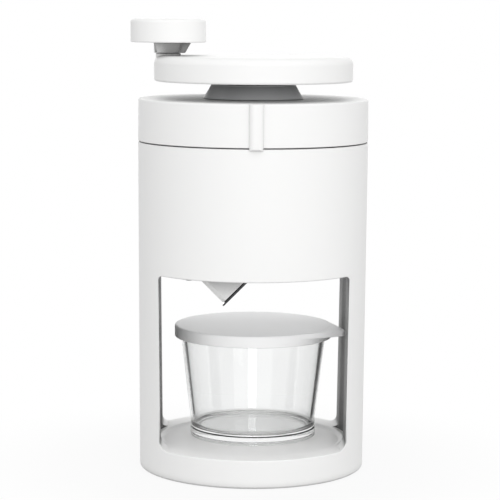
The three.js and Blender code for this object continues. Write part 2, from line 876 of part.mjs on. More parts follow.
// The shaft turns in the neck's bush. Above it a flatted neck and a thread hold the crank's plate,
// and below it a flatted rod carries the gripper between a collar and a clip.
function driveShaft() {
  const journal_top = plate_base;
  const thread_top = hub_top + washer_thickness + nut_height + seat_gap * 2 + turn_gap;
  const rod = flatted(rod_radius, rod_end, collar_base + collar_height / 2);
  const collar = turned([
    [0, collar_base],
    [collar_radius, collar_base],
    [collar_radius, collar_top],
    [0, collar_top],
  ], middle_steps);
  const journal = plug(journal_radius, collar_top - collar_height / 2, journal_top, middle_steps);
  const square = flatted(journal_radius, journal_top - plate_thickness, hub_top);
  const thread = plug(thread_radius, hub_top - plate_thickness, thread_top, small_steps);
  let shaft = joined(rod, collar, journal, square, thread);
  const groove = turned([
    [rod_radius - groove_sink, clip_base - seat_gap / 2],
    [rod_radius + overrun, clip_base - seat_gap / 2],
    [rod_radius + overrun, clip_base + clip_thickness + seat_gap / 2],
    [rod_radius - groove_sink, clip_base + clip_thickness + seat_gap / 2],
  ], small_steps);
  shaft = cut(shaft, groove);
  return piece("drive_shaft", geometryOf(shaft), "steel");
}

function shaftWasher() {
  const low = hub_top + seat_gap;
  const inner = thread_radius + seat_gap;
  const washer = turned([
    [inner, low],
    [washer_radius, low],
    [washer_radius, low + washer_thickness],
    [inner, low + washer_thickness],
  ], middle_steps);
  return piece("shaft_washer", geometryOf(washer), "screw_steel");
}

function shaftNut() {
  const low = hub_top + seat_gap * 2 + washer_thickness;
  const reach = nut_across / 2 / Math.cos(full / 12);
  const corners = around(6, 0, reach).map(({ x, y }) => [x, y]);
  const cone = turned([
    [0, low - overrun],
    [reach, low - overrun],
    [reach, low + nut_height * 0.8],
    [nut_across / 2, low + nut_height],
    [0, low + nut_height],
  ], middle_steps);
  const hole = plug(thread_radius + seat_gap, low - overrun, low + nut_height + overrun, small_steps);
  return piece("shaft_nut", geometryOf(cut(raised(corners, low, low + nut_height).intersect(cone), hole)),
    "screw_steel");
}

// A spring clip is a ring with a mouth.
function snapRing(inner, outer, low, thickness) {
  const high = low + thickness;
  const ring = turned([[inner, low], [outer, low], [outer, high], [inner, high]], small_steps);
  const open = inner * 0.6;
  return cut(ring, block(-open, open, 0, outer + overrun, low - overrun, high + overrun));
}

function shaftClip() {
  const inner = rod_radius - groove_sink + seat_gap;
  const clip = snapRing(inner, clip_radius, clip_base, clip_thickness);
  return piece("shaft_clip", geometryOf(clip), "screw_steel");
}

// The plate is the crank's working part: it takes the shaft, the knob post and the disc's screws.
function crankPlate() {
  let plate = turned([
    [0, plate_base],
    [plate_radius, plate_base],
    [plate_radius, plate_top],
    [hub_radius, plate_top],
    [hub_radius, hub_top],
    [0, hub_top],
  ], middle_steps);
  const throat = plug(throat_radius, throat_base, plate_base + plate_thickness / 2, middle_steps);
  plate = joined(plate, throat);
  for (const { angle } of around(plate_rib_count, full / 12, hub_radius)) {
    const rib = block(hub_radius / 2, plate_radius, -plate_rib_width / 2, plate_rib_width / 2,
      plate_top - plate_thickness / 2, plate_top + plate_rib_height);
    const keep = plug(hub_radius, plate_top, hub_top + overrun, middle_steps);
    plate = joined(plate, cut(turnedTo(rib, angle), keep));
  }
  const boss = plug(knob_inset - crank_wall - seat_gap, plate_top - plate_thickness / 2, boss_top)
    .translate([-knob_throw, 0, 0]);
  plate = joined(plate, boss);
  const bore = flatted(journal_radius, throat_base - overrun, hub_top + overrun, run_gap);
  const way = plug(journal_radius + run_gap, throat_base - overrun, plate_base, middle_steps);
  plate = cut(plate, bore, way);
  const head = plug(screw_head + seat_gap, plate_base - overrun, plate_base + screw_head_height + seat_gap,
    screw_steps);
  const hole = plug(screw_hole, plate_base - overrun, boss_top + overrun, screw_steps);
  plate = cut(plate, head.translate([-knob_throw, 0, 0]), hole.translate([-knob_throw, 0, 0]));
  for (const { x, y } of crank_places) {
    plate = cut(plate, plug(screw_hole, plate_base - overrun, plate_top + overrun, screw_steps)
      .translate([x, y, 0]));
    plate = cut(plate, plug(crank_boss_radius + seat_gap, plate_top, plate_top + plate_rib_height + overrun,
      small_steps).translate([x, y, 0]));
  }
  return piece("crank_plate", geometryOf(plate), "inner_plastic");
}

// The disc that shows is a shallow cover with a wide soft edge and a hole for the knob's post.
function crankDisc() {
  const inner = crank_radius - crank_wall;
  const roof = disc_top - crank_wall;
  let disc = turned([
    [inner, disc_base],
    [crank_radius, disc_base, crank_lower_edge],
    [crank_radius, disc_top, crank_fillet],
    [0, disc_top],
    [0, roof],
    [inner, roof, Math.max(0, crank_fillet - crank_wall)],
  ]);
  disc = cut(disc, plug(post_radius + seat_gap, post_base - seat_gap, disc_top + overrun, middle_steps)
    .translate([-knob_throw, 0, 0]));
  for (const { x, y } of crank_places) {
    const foot = plate_top + seat_gap;
    const boss = plug(crank_boss_radius, foot, roof + crank_wall / 2).translate([x, y, 0]);
    const hole = plug(screw_hole, foot - overrun, foot + screw_bite - crank_wall / 2, screw_steps)
      .translate([x, y, 0]);
    disc = cut(joined(disc, boss), hole);
  }
  return piece("crank_disc", geometryOf(disc), "white_plastic");
}

function crankScrews() {
  const seat = plate_base - seat_gap;
  const length = plate_thickness + screw_bite - crank_wall;
  return crank_places.map(({ x, y }, i) => placed(panScrew(`crank_screw_${i + 1}`, length), x, y, seat));
}

// Knob

// In these functions Z is the knob's own axis.
function knobPost() {
  const groove = knob_hub_top + seat_gap;
  const high = groove + spindle_clip_thickness + seat_gap;
  let post = turned([
    [0, post_base],
    [post_radius, post_base],
    [post_radius, post_top, rim_edge_fillet / 2],
    [spindle_radius, post_top],
    [spindle_radius, groove],
    [spindle_radius - spindle_groove, groove],
    [spindle_radius - spindle_groove, high],
    [spindle_radius, high],
    [spindle_radius, Math.max(spindle_top, high + spindle_groove)],
    [0, Math.max(spindle_top, high + spindle_groove)],
  ], middle_steps);
  post = cut(post, plug(screw_hole, post_base - overrun, post_base + post_foot, screw_steps));
  return piece("knob_post", geometryOf(post), "white_plastic");
}

function knobScrew() {
  const seat = plate_base + screw_head_height + seat_gap / 2;
  const screw = panScrew("knob_screw", post_base + post_foot - seat - seat_gap * 2);
  return placed(screw, 0, 0, seat);
}

// The socket stands fixed on the post under the knob. Its front flares only a little, and behind
// that it widens to a wedge that is cut flat where it would pass the disc's edge.
function knobSocket() {
  const bore = spindle_radius + seat_gap;
  const front = plug(post_radius, socket_base, socket_top, middle_steps, post_radius + socket_front_flare);
  const cone = turned([
    [0, socket_base],
    [socket_back_foot, socket_base, socket_corner],
    [socket_back_top, socket_top],
    [0, socket_top],
  ], middle_steps);
  const far = socket_back_top + overrun;
  const keep = raised([
    [-socket_flat, -socket_front_cut, socket_corner],
    [far, -socket_front_cut],
    [far, far],
    [-socket_flat, far],
  ], socket_base - overrun, socket_top + overrun);
  const socket = cut(joined(front, cone.intersect(keep)),
    plug(bore, socket_base - overrun, socket_top + overrun, small_steps));
  return piece("knob_socket", geometryOf(socket), "white_plastic");
}

function knobBody() {
  const bore = spindle_radius + run_gap;
  const inner = knob_radius - knob_wall - knob_step;
  const cap = knob_radius - knob_cap_inset;
  const body = turned([
    [bore, knob_base],
    [knob_radius, knob_base, knob_lower_fillet],
    [knob_radius, knob_top, knob_top_fillet],
    [cap, knob_top],
    [cap, knob_top - knob_cap_thickness - seat_gap],
    [inner, knob_top - knob_cap_thickness - seat_gap],
    [inner, knob_base + knob_floor],
    [knob_hub_radius, knob_base + knob_floor],
    [knob_hub_radius, knob_hub_top],
    [bore, knob_hub_top],
  ], knob_steps);
  return piece("knob_body", geometryOf(body), "white_plastic");
}

function knobCap() {
  const radius = knob_radius - knob_cap_inset - seat_gap;
  const cap = turned([
    [0, knob_top - knob_cap_thickness],
    [radius, knob_top - knob_cap_thickness],
    [radius, knob_top, seat_gap],
    [0, knob_top],
  ], middle_steps);
  return piece("knob_cap", geometryOf(cap), "white_plastic");
}

function knobClip() {
  const inner = spindle_radius - spindle_groove + run_gap;
  const low = knob_hub_top + seat_gap * 1.5;
  const clip = snapRing(inner, spindle_clip, low, spindle_clip_thickness);
  return piece("knob_clip", geometryOf(clip), "screw_steel");
}

// Gripper and spring

// A stiff disc with a rim, ribs and moulded spikes that bite into the ice.
function iceGripper() {
  let disc = turned([
    [0, gripper_base],
    [gripper_radius, gripper_base],
    [gripper_radius, gripper_top + gripper_rim_height],
    [gripper_radius - gripper_rim, gripper_top + gripper_rim_height],
    [gripper_radius - gripper_rim, gripper_top],
    [gripper_hub_radius, gripper_top],
    [gripper_hub_radius, gripper_hub_top],
    [0, gripper_hub_top],
  ], middle_steps);
  for (const { angle } of around(gripper_rib_count, 0, gripper_radius)) {
    const rib = block(gripper_hub_radius / 2, gripper_radius - gripper_rim / 2,
      -gripper_rib_width / 2, gripper_rib_width / 2, gripper_top - gripper_thickness / 2,
      gripper_top + gripper_rib_height);
    disc = joined(disc, turnedTo(rib, angle));
  }
  const spike = plug(spike_tip, gripper_base - spike_length, gripper_base + gripper_thickness / 2,
    screw_steps, spike_radius);
  const places = [
    ...around(outer_spikes, full / outer_spikes / 2, gripper_radius * outer_spike_share),
    ...around(inner_spikes, 0, gripper_radius * inner_spike_share),
  ];
  for (const { x, y } of places) disc = joined(disc, spike.translate([x, y, 0]));
  disc = cut(disc, flatted(rod_radius, gripper_base - overrun, gripper_hub_top + overrun, run_gap));
  return piece("ice_gripper", geometryOf(disc), "inner_plastic");
}

class Coil extends THREE.Curve {
  constructor(radius, low, high, turns) {
    super();
    Object.assign(this, { radius, low, high, turns });
  }

  getPoint(t, target = new THREE.Vector3()) {
    const angle = full * this.turns * t;
    const z = this.low + (this.high - this.low) * t;
    return target.set(this.radius * Math.cos(angle), this.radius * Math.sin(angle), z);
  }
}

// The spring presses the gripper down from the shaft's collar.
function gripperSpring() {
  const low = gripper_hub_top + seat_gap + spring_wire;
  const high = collar_base - seat_gap - spring_wire;
  const path = new Coil(rod_radius + spring_clear + spring_wire, low, high, spring_turns);
  const corners = around(wire_sides, 0, spring_wire).map(({ x, y }) => new THREE.Vector2(x, y));
  const section = new THREE.Shape(corners);
  const wire = new THREE.ExtrudeGeometry(section, {
    steps: spring_turns * coil_steps, curveSegments: 1, bevelEnabled: false, extrudePath: path,
  });
  return piece("gripper_spring", geometryOf(solid(wire)), "steel");
}

// Bowl

// In these functions Z is the bowl's own axis and heights are the object's.
function glassBowl() {
  const bowl = turned([
    [0, bowl_z + under_foot],
    [foot_radius - under_foot_rim, bowl_z + under_foot],
    [foot_radius - under_foot_rim, bowl_z],
    [foot_radius, bowl_z, foot_fillet],
    [foot_radius, bowl_z + foot_height, foot_fillet],
    [waist_radius, bowl_z + waist_height, foot_fillet],
    [mouth_radius, bowl_top, glass_lip],
    [mouth_radius - glass_wall, bowl_top, glass_lip],
    [waist_radius - glass_wall, bowl_z + glass_floor, glass_corner],
    [0, bowl_z + glass_floor],
  ]);
  return piece("glass_bowl", geometryOf(bowl), "clear_glass");
}

// The lid's outline with its pull tab: the tangents from the lid's rim to the tab's round tip.
function tabOutline() {
  const dx = tab_tip_side - tab_tip_radius - bowl_side;
  const dy = -tab_tip_ahead - bowl_setback;
  const reach = Math.hypot(dx, dy);
  const aim = Math.atan2(dy, dx);
  const root = bowl_lid_radius - tab_bite / 2;
  const open = Math.acos((root - tab_tip_radius) / reach);
  const points = [];
  const steps = small_steps / 2;
  for (let k = 0; k <= steps; k++) {
    const angle = aim - open + (2 * open * k) / steps;
    points.push([dx + tab_tip_radius * Math.cos(angle), dy + tab_tip_radius * Math.sin(angle)]);
  }
  points.push([root * Math.cos(aim + open), root * Math.sin(aim + open)]);
  points.push([root * Math.cos(aim - open), root * Math.sin(aim - open)]);
  return points;
}

// A soft cap with a skirt outside the glass, a short plug inside it and a tab to pull it off by.
function bowlLid() {
  const skirt = bowl_lid_radius - bowl_lid_skirt_wall;
  const plug_outer = mouth_radius - glass_wall - slip_gap * 2;
  let lid = turned([
    [0, bowl_lid_under],
    [plug_outer - plug_wall, bowl_lid_under],
    [plug_outer - plug_wall, bowl_lid_under - plug_depth],
    [plug_outer - slip_gap, bowl_lid_under - plug_depth],
    [plug_outer, bowl_lid_under],
    [skirt, bowl_lid_under],
    [skirt, bowl_lid_top - bowl_lid_skirt],
    [bowl_lid_radius, bowl_lid_top - bowl_lid_skirt, rim_edge_fillet],
    [bowl_lid_radius, bowl_lid_top, bowl_lid_fillet],
    [0, bowl_lid_top],
  ]);
  const high = bowl_lid_top - tab_drop;
  const core = plug(bowl_lid_radius - tab_bite, high - tab_thickness - overrun, high + overrun, round_steps);
  const tab = cut(raised(tabOutline(), high - tab_thickness, high), core);
  return piece("bowl_lid", geometryOf(joined(lid, tab)), "soft_lid");
}

// Assembly

const knob = new THREE.Group();
knob.position.set(-knob_throw, 0, 0);
knob.add(knobPost(), knobScrew(), knobSocket(), knobBody(), knobCap(), knobClip());

const crank = new THREE.Group();
crank.add(driveShaft(), shaftWasher(), shaftNut(), shaftClip(), crankPlate(), crankDisc(), ...crankScrews());
crank.add(iceGripper(), gripperSpring(), knob);

const lid = new THREE.Group();
lid.add(lidCap(), lidInner(), ...lidScrews(), bearingNeck(), ...neckScrews(), bearingBush(), crank);

const bowl = new THREE.Group();
bowl.position.set(bowl_side, bowl_setback, 0);
bowl.add(glassBowl(), bowlLid());

const shaver = new THREE.Group();
shaver.add(bodyFrame(), baseCover(), footPad(), ...coverScrews());
shaver.add(iceChamber(), bladeHolder(), blade(), ...bladeScrews(), ...holderScrews());
shaver.add(lid, bowl);

export default shaver;
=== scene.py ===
# %% [markdown]
# An ice shaver with a crank: a white plastic body with a window for a glass bowl, a lid with a
# short dark neck, and a flat disc with a knob that turns the ice over a slanted blade.
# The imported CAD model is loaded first. It gives every piece its place and size, so each finer
# piece below takes its measures from the box of the node that it stands for.

from math import acos, cos, degrees, hypot, pi, radians, sin, sqrt, tan

import bmesh
import bpy
from mathutils import Matrix, Vector


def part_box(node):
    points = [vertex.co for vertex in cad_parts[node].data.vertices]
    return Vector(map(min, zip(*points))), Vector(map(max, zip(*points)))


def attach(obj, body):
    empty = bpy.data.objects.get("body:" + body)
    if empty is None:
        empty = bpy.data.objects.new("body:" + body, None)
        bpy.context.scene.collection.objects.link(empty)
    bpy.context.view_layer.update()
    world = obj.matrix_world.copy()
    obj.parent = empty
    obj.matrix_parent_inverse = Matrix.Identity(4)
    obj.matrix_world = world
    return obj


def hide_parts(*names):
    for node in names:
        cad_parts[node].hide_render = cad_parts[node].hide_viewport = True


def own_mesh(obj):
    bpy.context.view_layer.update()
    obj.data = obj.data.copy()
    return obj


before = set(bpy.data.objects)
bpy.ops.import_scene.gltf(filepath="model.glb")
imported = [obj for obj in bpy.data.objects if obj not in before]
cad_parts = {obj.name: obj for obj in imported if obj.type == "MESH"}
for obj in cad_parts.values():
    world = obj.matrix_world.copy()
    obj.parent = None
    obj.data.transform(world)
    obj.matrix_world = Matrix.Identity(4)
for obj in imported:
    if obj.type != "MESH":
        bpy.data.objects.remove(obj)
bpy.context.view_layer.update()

MM = 0.001
FULL_TURN = 2 * pi


def box_mm(node):
    """Lowest and highest corner of a CAD node, in millimetres."""
    low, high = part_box(node)
    return low * 1000, high * 1000


def middle_of(node):
    """The middle of a CAD node's box, in millimetres."""
    low, high = box_mm(node)
    return (low + high) / 2


# %% [markdown]
# The camera stands a metre in front, a little above the bowl, and looks almost level. A long lens
# from that distance keeps the posts upright, as in the photograph. The place and the tilt were
# fitted to the ellipses that the rims make, so the camera is built from those angles.

# %% Camera
camera_azimuth, camera_elevation, camera_roll = radians(-1.45), radians(7.089), radians(0.368)
camera_distance = 1.12139
camera_target = Vector((-0.001375, 0.0, 0.124148))
focal_pixels, picture_pixels, sensor_mm = 1966.7, 500, 36.0

back = Vector((
    sin(camera_azimuth) * cos(camera_elevation),
    -cos(camera_azimuth) * cos(camera_elevation),
    sin(camera_elevation),
))
level_right = (-back).cross(Vector((0, 0, 1))).normalized()
level_up = level_right.cross(-back)
right = level_right * cos(camera_roll) + level_up * sin(camera_roll)
up = level_up * cos(camera_roll) - level_right * sin(camera_roll)

camera_data = bpy.data.cameras.new("camera")
camera_data.sensor_width = sensor_mm
camera_data.lens = focal_pixels / picture_pixels * sensor_mm
camera_data.clip_end = 20
camera = bpy.data.objects.new("camera", camera_data)
bpy.context.scene.collection.objects.link(camera)
place = Matrix((right, up, back)).transposed().to_4x4()
place.translation = camera_target + back * camera_distance
camera.matrix_world = place
bpy.context.scene.camera = camera
bpy.context.scene.view_settings.view_transform = "Standard"
print("camera at", tuple(round(x, 4) for x in place.translation), "lens", round(camera_data.lens, 1))


# %% [markdown]
# Nearly everything here is a moulded or turned part, so one half section spun about an axis makes
# most of the shapes. The section is a line of corners, each with the radius that its mould gives
# it. Bevelling the corners of that line before the spin costs nothing and gives true round edges,
# where a bevel on the finished solid would have to guess where the edges are.

# %% Draw and spin a half section
def edge_steps(radius_mm):
    """Segments for a rounded corner: more for wide ones, three for the small ones."""
    return max(3, min(12, round(radius_mm * 3.2)))


def draw_outline(mesh, corners, to_place, closed=True):
    """Draws a line through the corners, given as (across, up) or (across, up, radius) in
    millimetres, and rounds those that have a radius."""
    points = [mesh.verts.new(to_place(corner[0] * MM, corner[1] * MM)) for corner in corners]
    last = len(points) if closed else len(points) - 1
    for i in range(last):
        mesh.edges.new((points[i], points[(i + 1) % len(points)]))
    for i, corner in enumerate(corners):
        if len(corner) < 3 or not corner[2]:
            continue
        before, after = corners[i - 1], corners[(i + 1) % len(corners)]
        one = Vector((before[0] - corner[0], before[1] - corner[1])).normalized()
        two = Vector((after[0] - corner[0], after[1] - corner[1])).normalized()
        half_angle = acos(max(-1, min(1, one.dot(two)))) / 2
        bmesh.ops.bevel(
            mesh, geom=[points[i]], offset=corner[2] * MM / tan(half_angle), offset_type="OFFSET",
            segments=edge_steps(corner[2]), profile=0.5, affect="VERTICES", material=-1,
        )


def spun(corners, steps, centre=(0.0, 0.0)):
    """A solid turned about a vertical axis through centre, from its half section. A section that
    starts on the axis ends there too, and stays open along it."""
    mesh = bmesh.new()
    middle = Vector((centre[0] * MM, centre[1] * MM, 0))
    draw_outline(mesh, corners, lambda r, z: middle + Vector((r, 0, z)), closed=corners[0][0] != 0)
    bmesh.ops.spin(
        mesh, geom=mesh.verts[:] + mesh.edges[:], cent=middle, axis=(0, 0, 1), dvec=(0, 0, 0),
        angle=FULL_TURN, steps=steps, use_merge=True,
    )
    bmesh.ops.remove_doubles(mesh, verts=mesh.verts, dist=1e-6)
    bmesh.ops.recalc_face_normals(mesh, faces=mesh.faces)
    return mesh


# %% [markdown]
# Windows, slots and screw holes are cut with Boolean modifiers that are applied at once, on the
# exact solver, since a hole through a curved wall is awkward to build face by face. Plain tools
# for the cuts are boxes, pegs and prisms, each from the operator that fits it. A tool runs past
# the face that it cuts, by over or by far.

# %% Cutting, joining and plain tools
over, far = 1, 4


def as_object(mesh, name):
    data = bpy.data.meshes.new(name)
    mesh.to_mesh(data)
    mesh.free()
    thing = bpy.data.objects.new(name, data)
    bpy.context.scene.collection.objects.link(thing)
    return thing


def combined(mesh, tools, how="DIFFERENCE"):
    """The mesh with each tool taken away or added, as a new bmesh."""
    base = as_object(mesh, "blank")
    helpers = [as_object(tool, "tool") for tool in tools]
    for helper in helpers:
        step = base.modifiers.new("cut", "BOOLEAN")
        step.operation, step.solver, step.object = how, "EXACT", helper
    result = bmesh.new()
    result.from_object(base, bpy.context.evaluated_depsgraph_get())
    for thing in [base] + helpers:
        data = thing.data
        bpy.data.objects.remove(thing)
        bpy.data.meshes.remove(data)
    bmesh.ops.remove_doubles(result, verts=result.verts, dist=1e-6)
    bmesh.ops.dissolve_degenerate(result, dist=1e-7, edges=result.edges)
    return result


def bar(low, high):
    """A box between two corners, in millimetres."""
    mesh = bmesh.new()
    size, middle = (Vector(high) - Vector(low)) * MM, (Vector(high) + Vector(low)) / 2 * MM
    bmesh.ops.create_cube(mesh, size=1.0, matrix=Matrix.Translation(middle) @ Matrix.Diagonal((*size, 1)))
    return mesh


def peg(x, y, low, high, radius, top_radius=None, sides=32, mesh=None):
    """An upright round peg, straight or tapered, in millimetres, in a mesh of its own or beside
    what a mesh already holds."""
    mesh = bmesh.new() if mesh is None else mesh
    top = radius if top_radius is None else top_radius
    bmesh.ops.create_cone(
        mesh, cap_ends=True, segments=sides, radius1=radius * MM, radius2=top * MM,
        depth=(high - low) * MM, matrix=Matrix.Translation(Vector((x, y, (low + high) / 2)) * MM),
    )
    return mesh


def prism(corners, axis, start, length):
    """A flat outline carried along x, y or z; corners may have radii, as in a half section."""
    along = "xyz".index(axis)

    def to_place(one, two):
        point = [one, two]
        point.insert(along, start * MM)
        return Vector(point)

    mesh = bmesh.new()
    draw_outline(mesh, corners, to_place)
    bmesh.ops.contextual_create(mesh, geom=mesh.edges[:])
    sheet = bmesh.ops.extrude_face_region(mesh, geom=mesh.faces[:])
    moved = [part for part in sheet["geom"] if isinstance(part, bmesh.types.BMVert)]
    step = [0.0, 0.0, 0.0]
    step[along] = length * MM
    bmesh.ops.translate(mesh, verts=moved, vec=step)
    bmesh.ops.recalc_face_normals(mesh, faces=mesh.faces)
    return mesh


def turned(mesh, angle):
    """The mesh turned about the crank's axis."""
    bmesh.ops.rotate(mesh, verts=mesh.verts, cent=(0, 0, 0), matrix=Matrix.Rotation(angle, 3, "Z"))
    return mesh


def angles_round(count, start):
    return [start + FULL_TURN * i / count for i in range(count)]


def bars_round(count, start, low, high):
    """Equal bars round the crank's axis, the first between two corners before it is turned."""
    return [turned(bar(low, high), angle) for angle in angles_round(count, start)]


def soften(mesh, width_mm, wanted=None, segments=3, least_angle=30):
    """Bevels the sharp edges, or those that wanted() picks by their ends in millimetres."""
    picked = []
    for edge in mesh.edges:
        if len(edge.link_faces) != 2 or degrees(edge.calc_face_angle(0)) < least_angle:
            continue
        if not wanted or wanted(*(vert.co * 1000 for vert in edge.verts)):
            picked.append(edge)
    bmesh.ops.bevel(
        mesh, geom=picked, offset=width_mm * MM, offset_type="OFFSET", segments=segments,
        profile=0.5, affect="EDGES", material=-1, clamp_overlap=False,
    )


# %% [markdown]
# Screws recur all over the shaver. Their holes and bosses are placed at the middle of the CAD
# screw that each is for. A thread is a row of ridges in the half section of the screw or shaft.

# %% Holes, bosses, flats and threads
seat_gap = 0.3
screw_hole, head_hole, screw_shank, thread_pitch = 1.7, 3.2, 1.4, 0.8
root_share, flank_share, crest_share = 0.84, 0.4, 0.55


def pegs_at(screws, low, high, radius, sides):
    return [peg(at.x, at.y, low, high, radius, sides=sides) for at in map(middle_of, screws)]


def drilled(mesh, screws, low, high, radius=screw_hole):
    """The mesh with a hole for each screw."""
    return combined(mesh, pegs_at(screws, low, high, radius, sides=24))


def countersunk(mesh, screws, low, seat, high):
    """The mesh with a hole for each screw, wide enough for the head up to the seat."""
    mesh = drilled(mesh, screws, low - over, seat, head_hole)
    return drilled(mesh, screws, low - over, high + over)


def bossed(mesh, screws, radius, foot, top, hole_top):
    """The mesh with a boss for each screw, and a hole up into the boss."""
    mesh = combined(mesh, pegs_at(screws, foot, top, radius, sides=40), "UNION")
    return drilled(mesh, screws, foot - over, hole_top)


def flatted(radius, half, low, high):
    """A round bar with two flats, half being the distance from its axis to a flat."""
    between = bar((-half, -radius - over, low - over), (half, radius + over, high + over))
    return combined(peg(0, 0, low, high, radius, sides=64), [between], "INTERSECT")


def threaded(radius, low, high, pitch):
    """Corners of a threaded length for a half section: one ridge for each pitch."""
    ridges = []
    for i in range(int((high - low) / pitch)):
        foot = low + i * pitch
        ridges += [(radius * root_share, foot), (radius, foot + pitch * flank_share),
                   (radius, foot + pitch * crest_share)]
    return ridges + [(radius * root_share, high)]


# %% [markdown]
# A finished piece is smooth shaded, with its edges marked sharp where two faces meet at more than
# a set angle. A weighted normals modifier lets the large faces keep their own direction, so that
# flat and drafted walls don't look puffed up beside a small round.

# %% Finish a piece
materials_for = {}


def finish_piece(name, mesh, body, slot, stands_for, keen=34, finish=None):
    """Turns a bmesh into a named piece on its body, standing for the CAD nodes given."""
    thing = as_object(mesh, name)
    thing.data.shade_smooth()
    thing.data.set_sharp_from_angle(angle=radians(keen))
    weigh = thing.modifiers.new("weighted_normals", "WEIGHTED_NORMAL")
    weigh.keep_sharp = True
    weigh.weight = 80
    thing.data.materials.append(materials_for[finish or slot])
    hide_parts(*stands_for)
    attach(thing, body)
    print(name, "has", len(thing.data.polygons), "faces")
    return thing


# %% [markdown]
# The finishes are made of shader nodes. Small functions add them, and each gives back an output,
# so that a finish reads from what it needs to what it makes. Nearly all of a noise lies in its
# usual range, so that is what gets spread over a range of tone or roughness.

# %% Add and feed nodes
usual_noise = (0.3, 0.7)


def feed(tree, node, values):
    """Gives a node's named or numbered sockets a value, or a link from another node's output."""
    for key, value in values.items():
        if isinstance(value, bpy.types.NodeSocket):
            tree.links.new(value, node.inputs[key])
        else:
            node.inputs[key].default_value = value


def add_node(tree, kind, values=None, **settings):
    """A node with its settings, fed with values or links."""
    made = tree.nodes.new(kind)
    for key, value in settings.items():
        setattr(made, key, value)
    feed(tree, made, values or {})
    return made


def calculate(tree, operation, *values, **settings):
    made = add_node(tree, "ShaderNodeMath", dict(enumerate(values)), operation=operation, **settings)
    return made.outputs[0]


def spread(tree, value, from_min, from_max, to_min=0.0, to_max=1.0, **settings):
    """A value carried from one range to another."""
    return add_node(tree, "ShaderNodeMapRange", {
        "Value": value, "From Min": from_min, "From Max": from_max, "To Min": to_min, "To Max": to_max,
    }, **settings).outputs["Result"]


def noise(tree, where, scale, detail, roughness=0.5):
    return add_node(tree, "ShaderNodeTexNoise", {
        "Vector": where, "Scale": scale, "Detail": detail, "Roughness": roughness}).outputs["Fac"]


def object_place(tree):
    """The place on the object, in metres."""
    return add_node(tree, "ShaderNodeTexCoord").outputs["Object"]


def facing(tree, axis):
    """How far the surface faces along X, Y or Z."""
    normal = add_node(tree, "ShaderNodeNewGeometry").outputs["Normal"]
    return add_node(tree, "ShaderNodeSeparateXYZ", {"Vector": normal}).outputs[axis]


def new_group(name, inputs, outputs):
    """A node group, with the sockets that it starts from and the node that it ends in."""
    group = bpy.data.node_groups.new(name, "ShaderNodeTree")
    for label, value in inputs.items():
        socket = group.interface.new_socket(name=label, in_out="INPUT", socket_type="NodeSocketFloat")
        socket.default_value = value
    for label in outputs:
        group.interface.new_socket(name=label, in_out="OUTPUT", socket_type="NodeSocketFloat")
    return group, group.nodes.new("NodeGroupInput").outputs, group.nodes.new("NodeGroupOutput")


# %% [markdown]
# Four effects are shared by several finishes, so each is a node group with named sockets. The
# first is the fine skin that a textured mould leaves: a very small bump, with roughness and tone
# that wander a little over the surface.

# %% Moulded skin
def build_moulded_skin():
    group, start, end = new_group(
        "moulded_skin",
        {"Grain Size": 1500.0, "Cloud Size": 22.0, "Tone Swing": 0.02, "Rough Low": 0.4, "Rough High": 0.5},
        ["Tone", "Roughness", "Height"])
    where = object_place(group)
    grain = noise(group, where, start["Grain Size"], detail=3.0, roughness=0.6)
    clouds = noise(group, where, start["Cloud Size"], detail=4.0, roughness=0.55)
    centred = calculate(group, "SUBTRACT", clouds, 0.5)
    feed(group, end, {
        "Tone": calculate(group, "MULTIPLY_ADD", centred, start["Tone Swing"], 1.0),
        "Roughness": spread(group, grain, 0.0, 1.0, start["Rough Low"], start["Rough High"]),
        "Height": grain,
    })
    return group


moulded_skin = build_moulded_skin()
print("moulded skin gives", [s.name for s in moulded_skin.interface.items_tree if s.in_out == "OUTPUT"])


# %% [markdown]
# Handling polishes the outer edges of plastic and bares the edges of plated steel. Pointiness
# finds convex edges, and a noise breaks the line up so that it isn't the same all along.

# %% Edge polish
def build_edge_polish():
    group, start, end = new_group(
        "edge_polish", {"Start": 0.52, "End": 0.60, "Break Up": 60.0, "Amount": 1.0}, ["Mask"])
    pointed = add_node(group, "ShaderNodeNewGeometry").outputs["Pointiness"]
    edge = spread(group, pointed, start["Start"], start["End"])
    breaks = noise(group, object_place(group), start["Break Up"], detail=3.0)
    strength = calculate(group, "MULTIPLY", breaks, start["Amount"])
    feed(group, end, {"Mask": calculate(group, "MULTIPLY", edge, strength, use_clamp=True)})
    return group


edge_polish = build_edge_polish()
print("edge polish is ready")


# %% [markdown]
# A little dust settles on what faces up. The mask follows the surface's upward direction and is
# patchy, and it stays faint here, because the shaver in the photograph is new and clean.

# %% Settled dust
def build_settled_dust():
    group, start, end = new_group("settled_dust", {"Patch Size": 35.0, "Amount": 0.3}, ["Mask"])
    upward = spread(group, facing(group, "Z"), 0.55, 1.0)
    patches = noise(group, object_place(group), start["Patch Size"], detail=5.0, roughness=0.65)
    both = calculate(group, "MULTIPLY", upward, spread(group, patches, 0.42, 0.72))
    feed(group, end, {"Mask": calculate(group, "MULTIPLY", both, start["Amount"], use_clamp=True)})
    return group


settled_dust = build_settled_dust()
print("settled dust is ready")
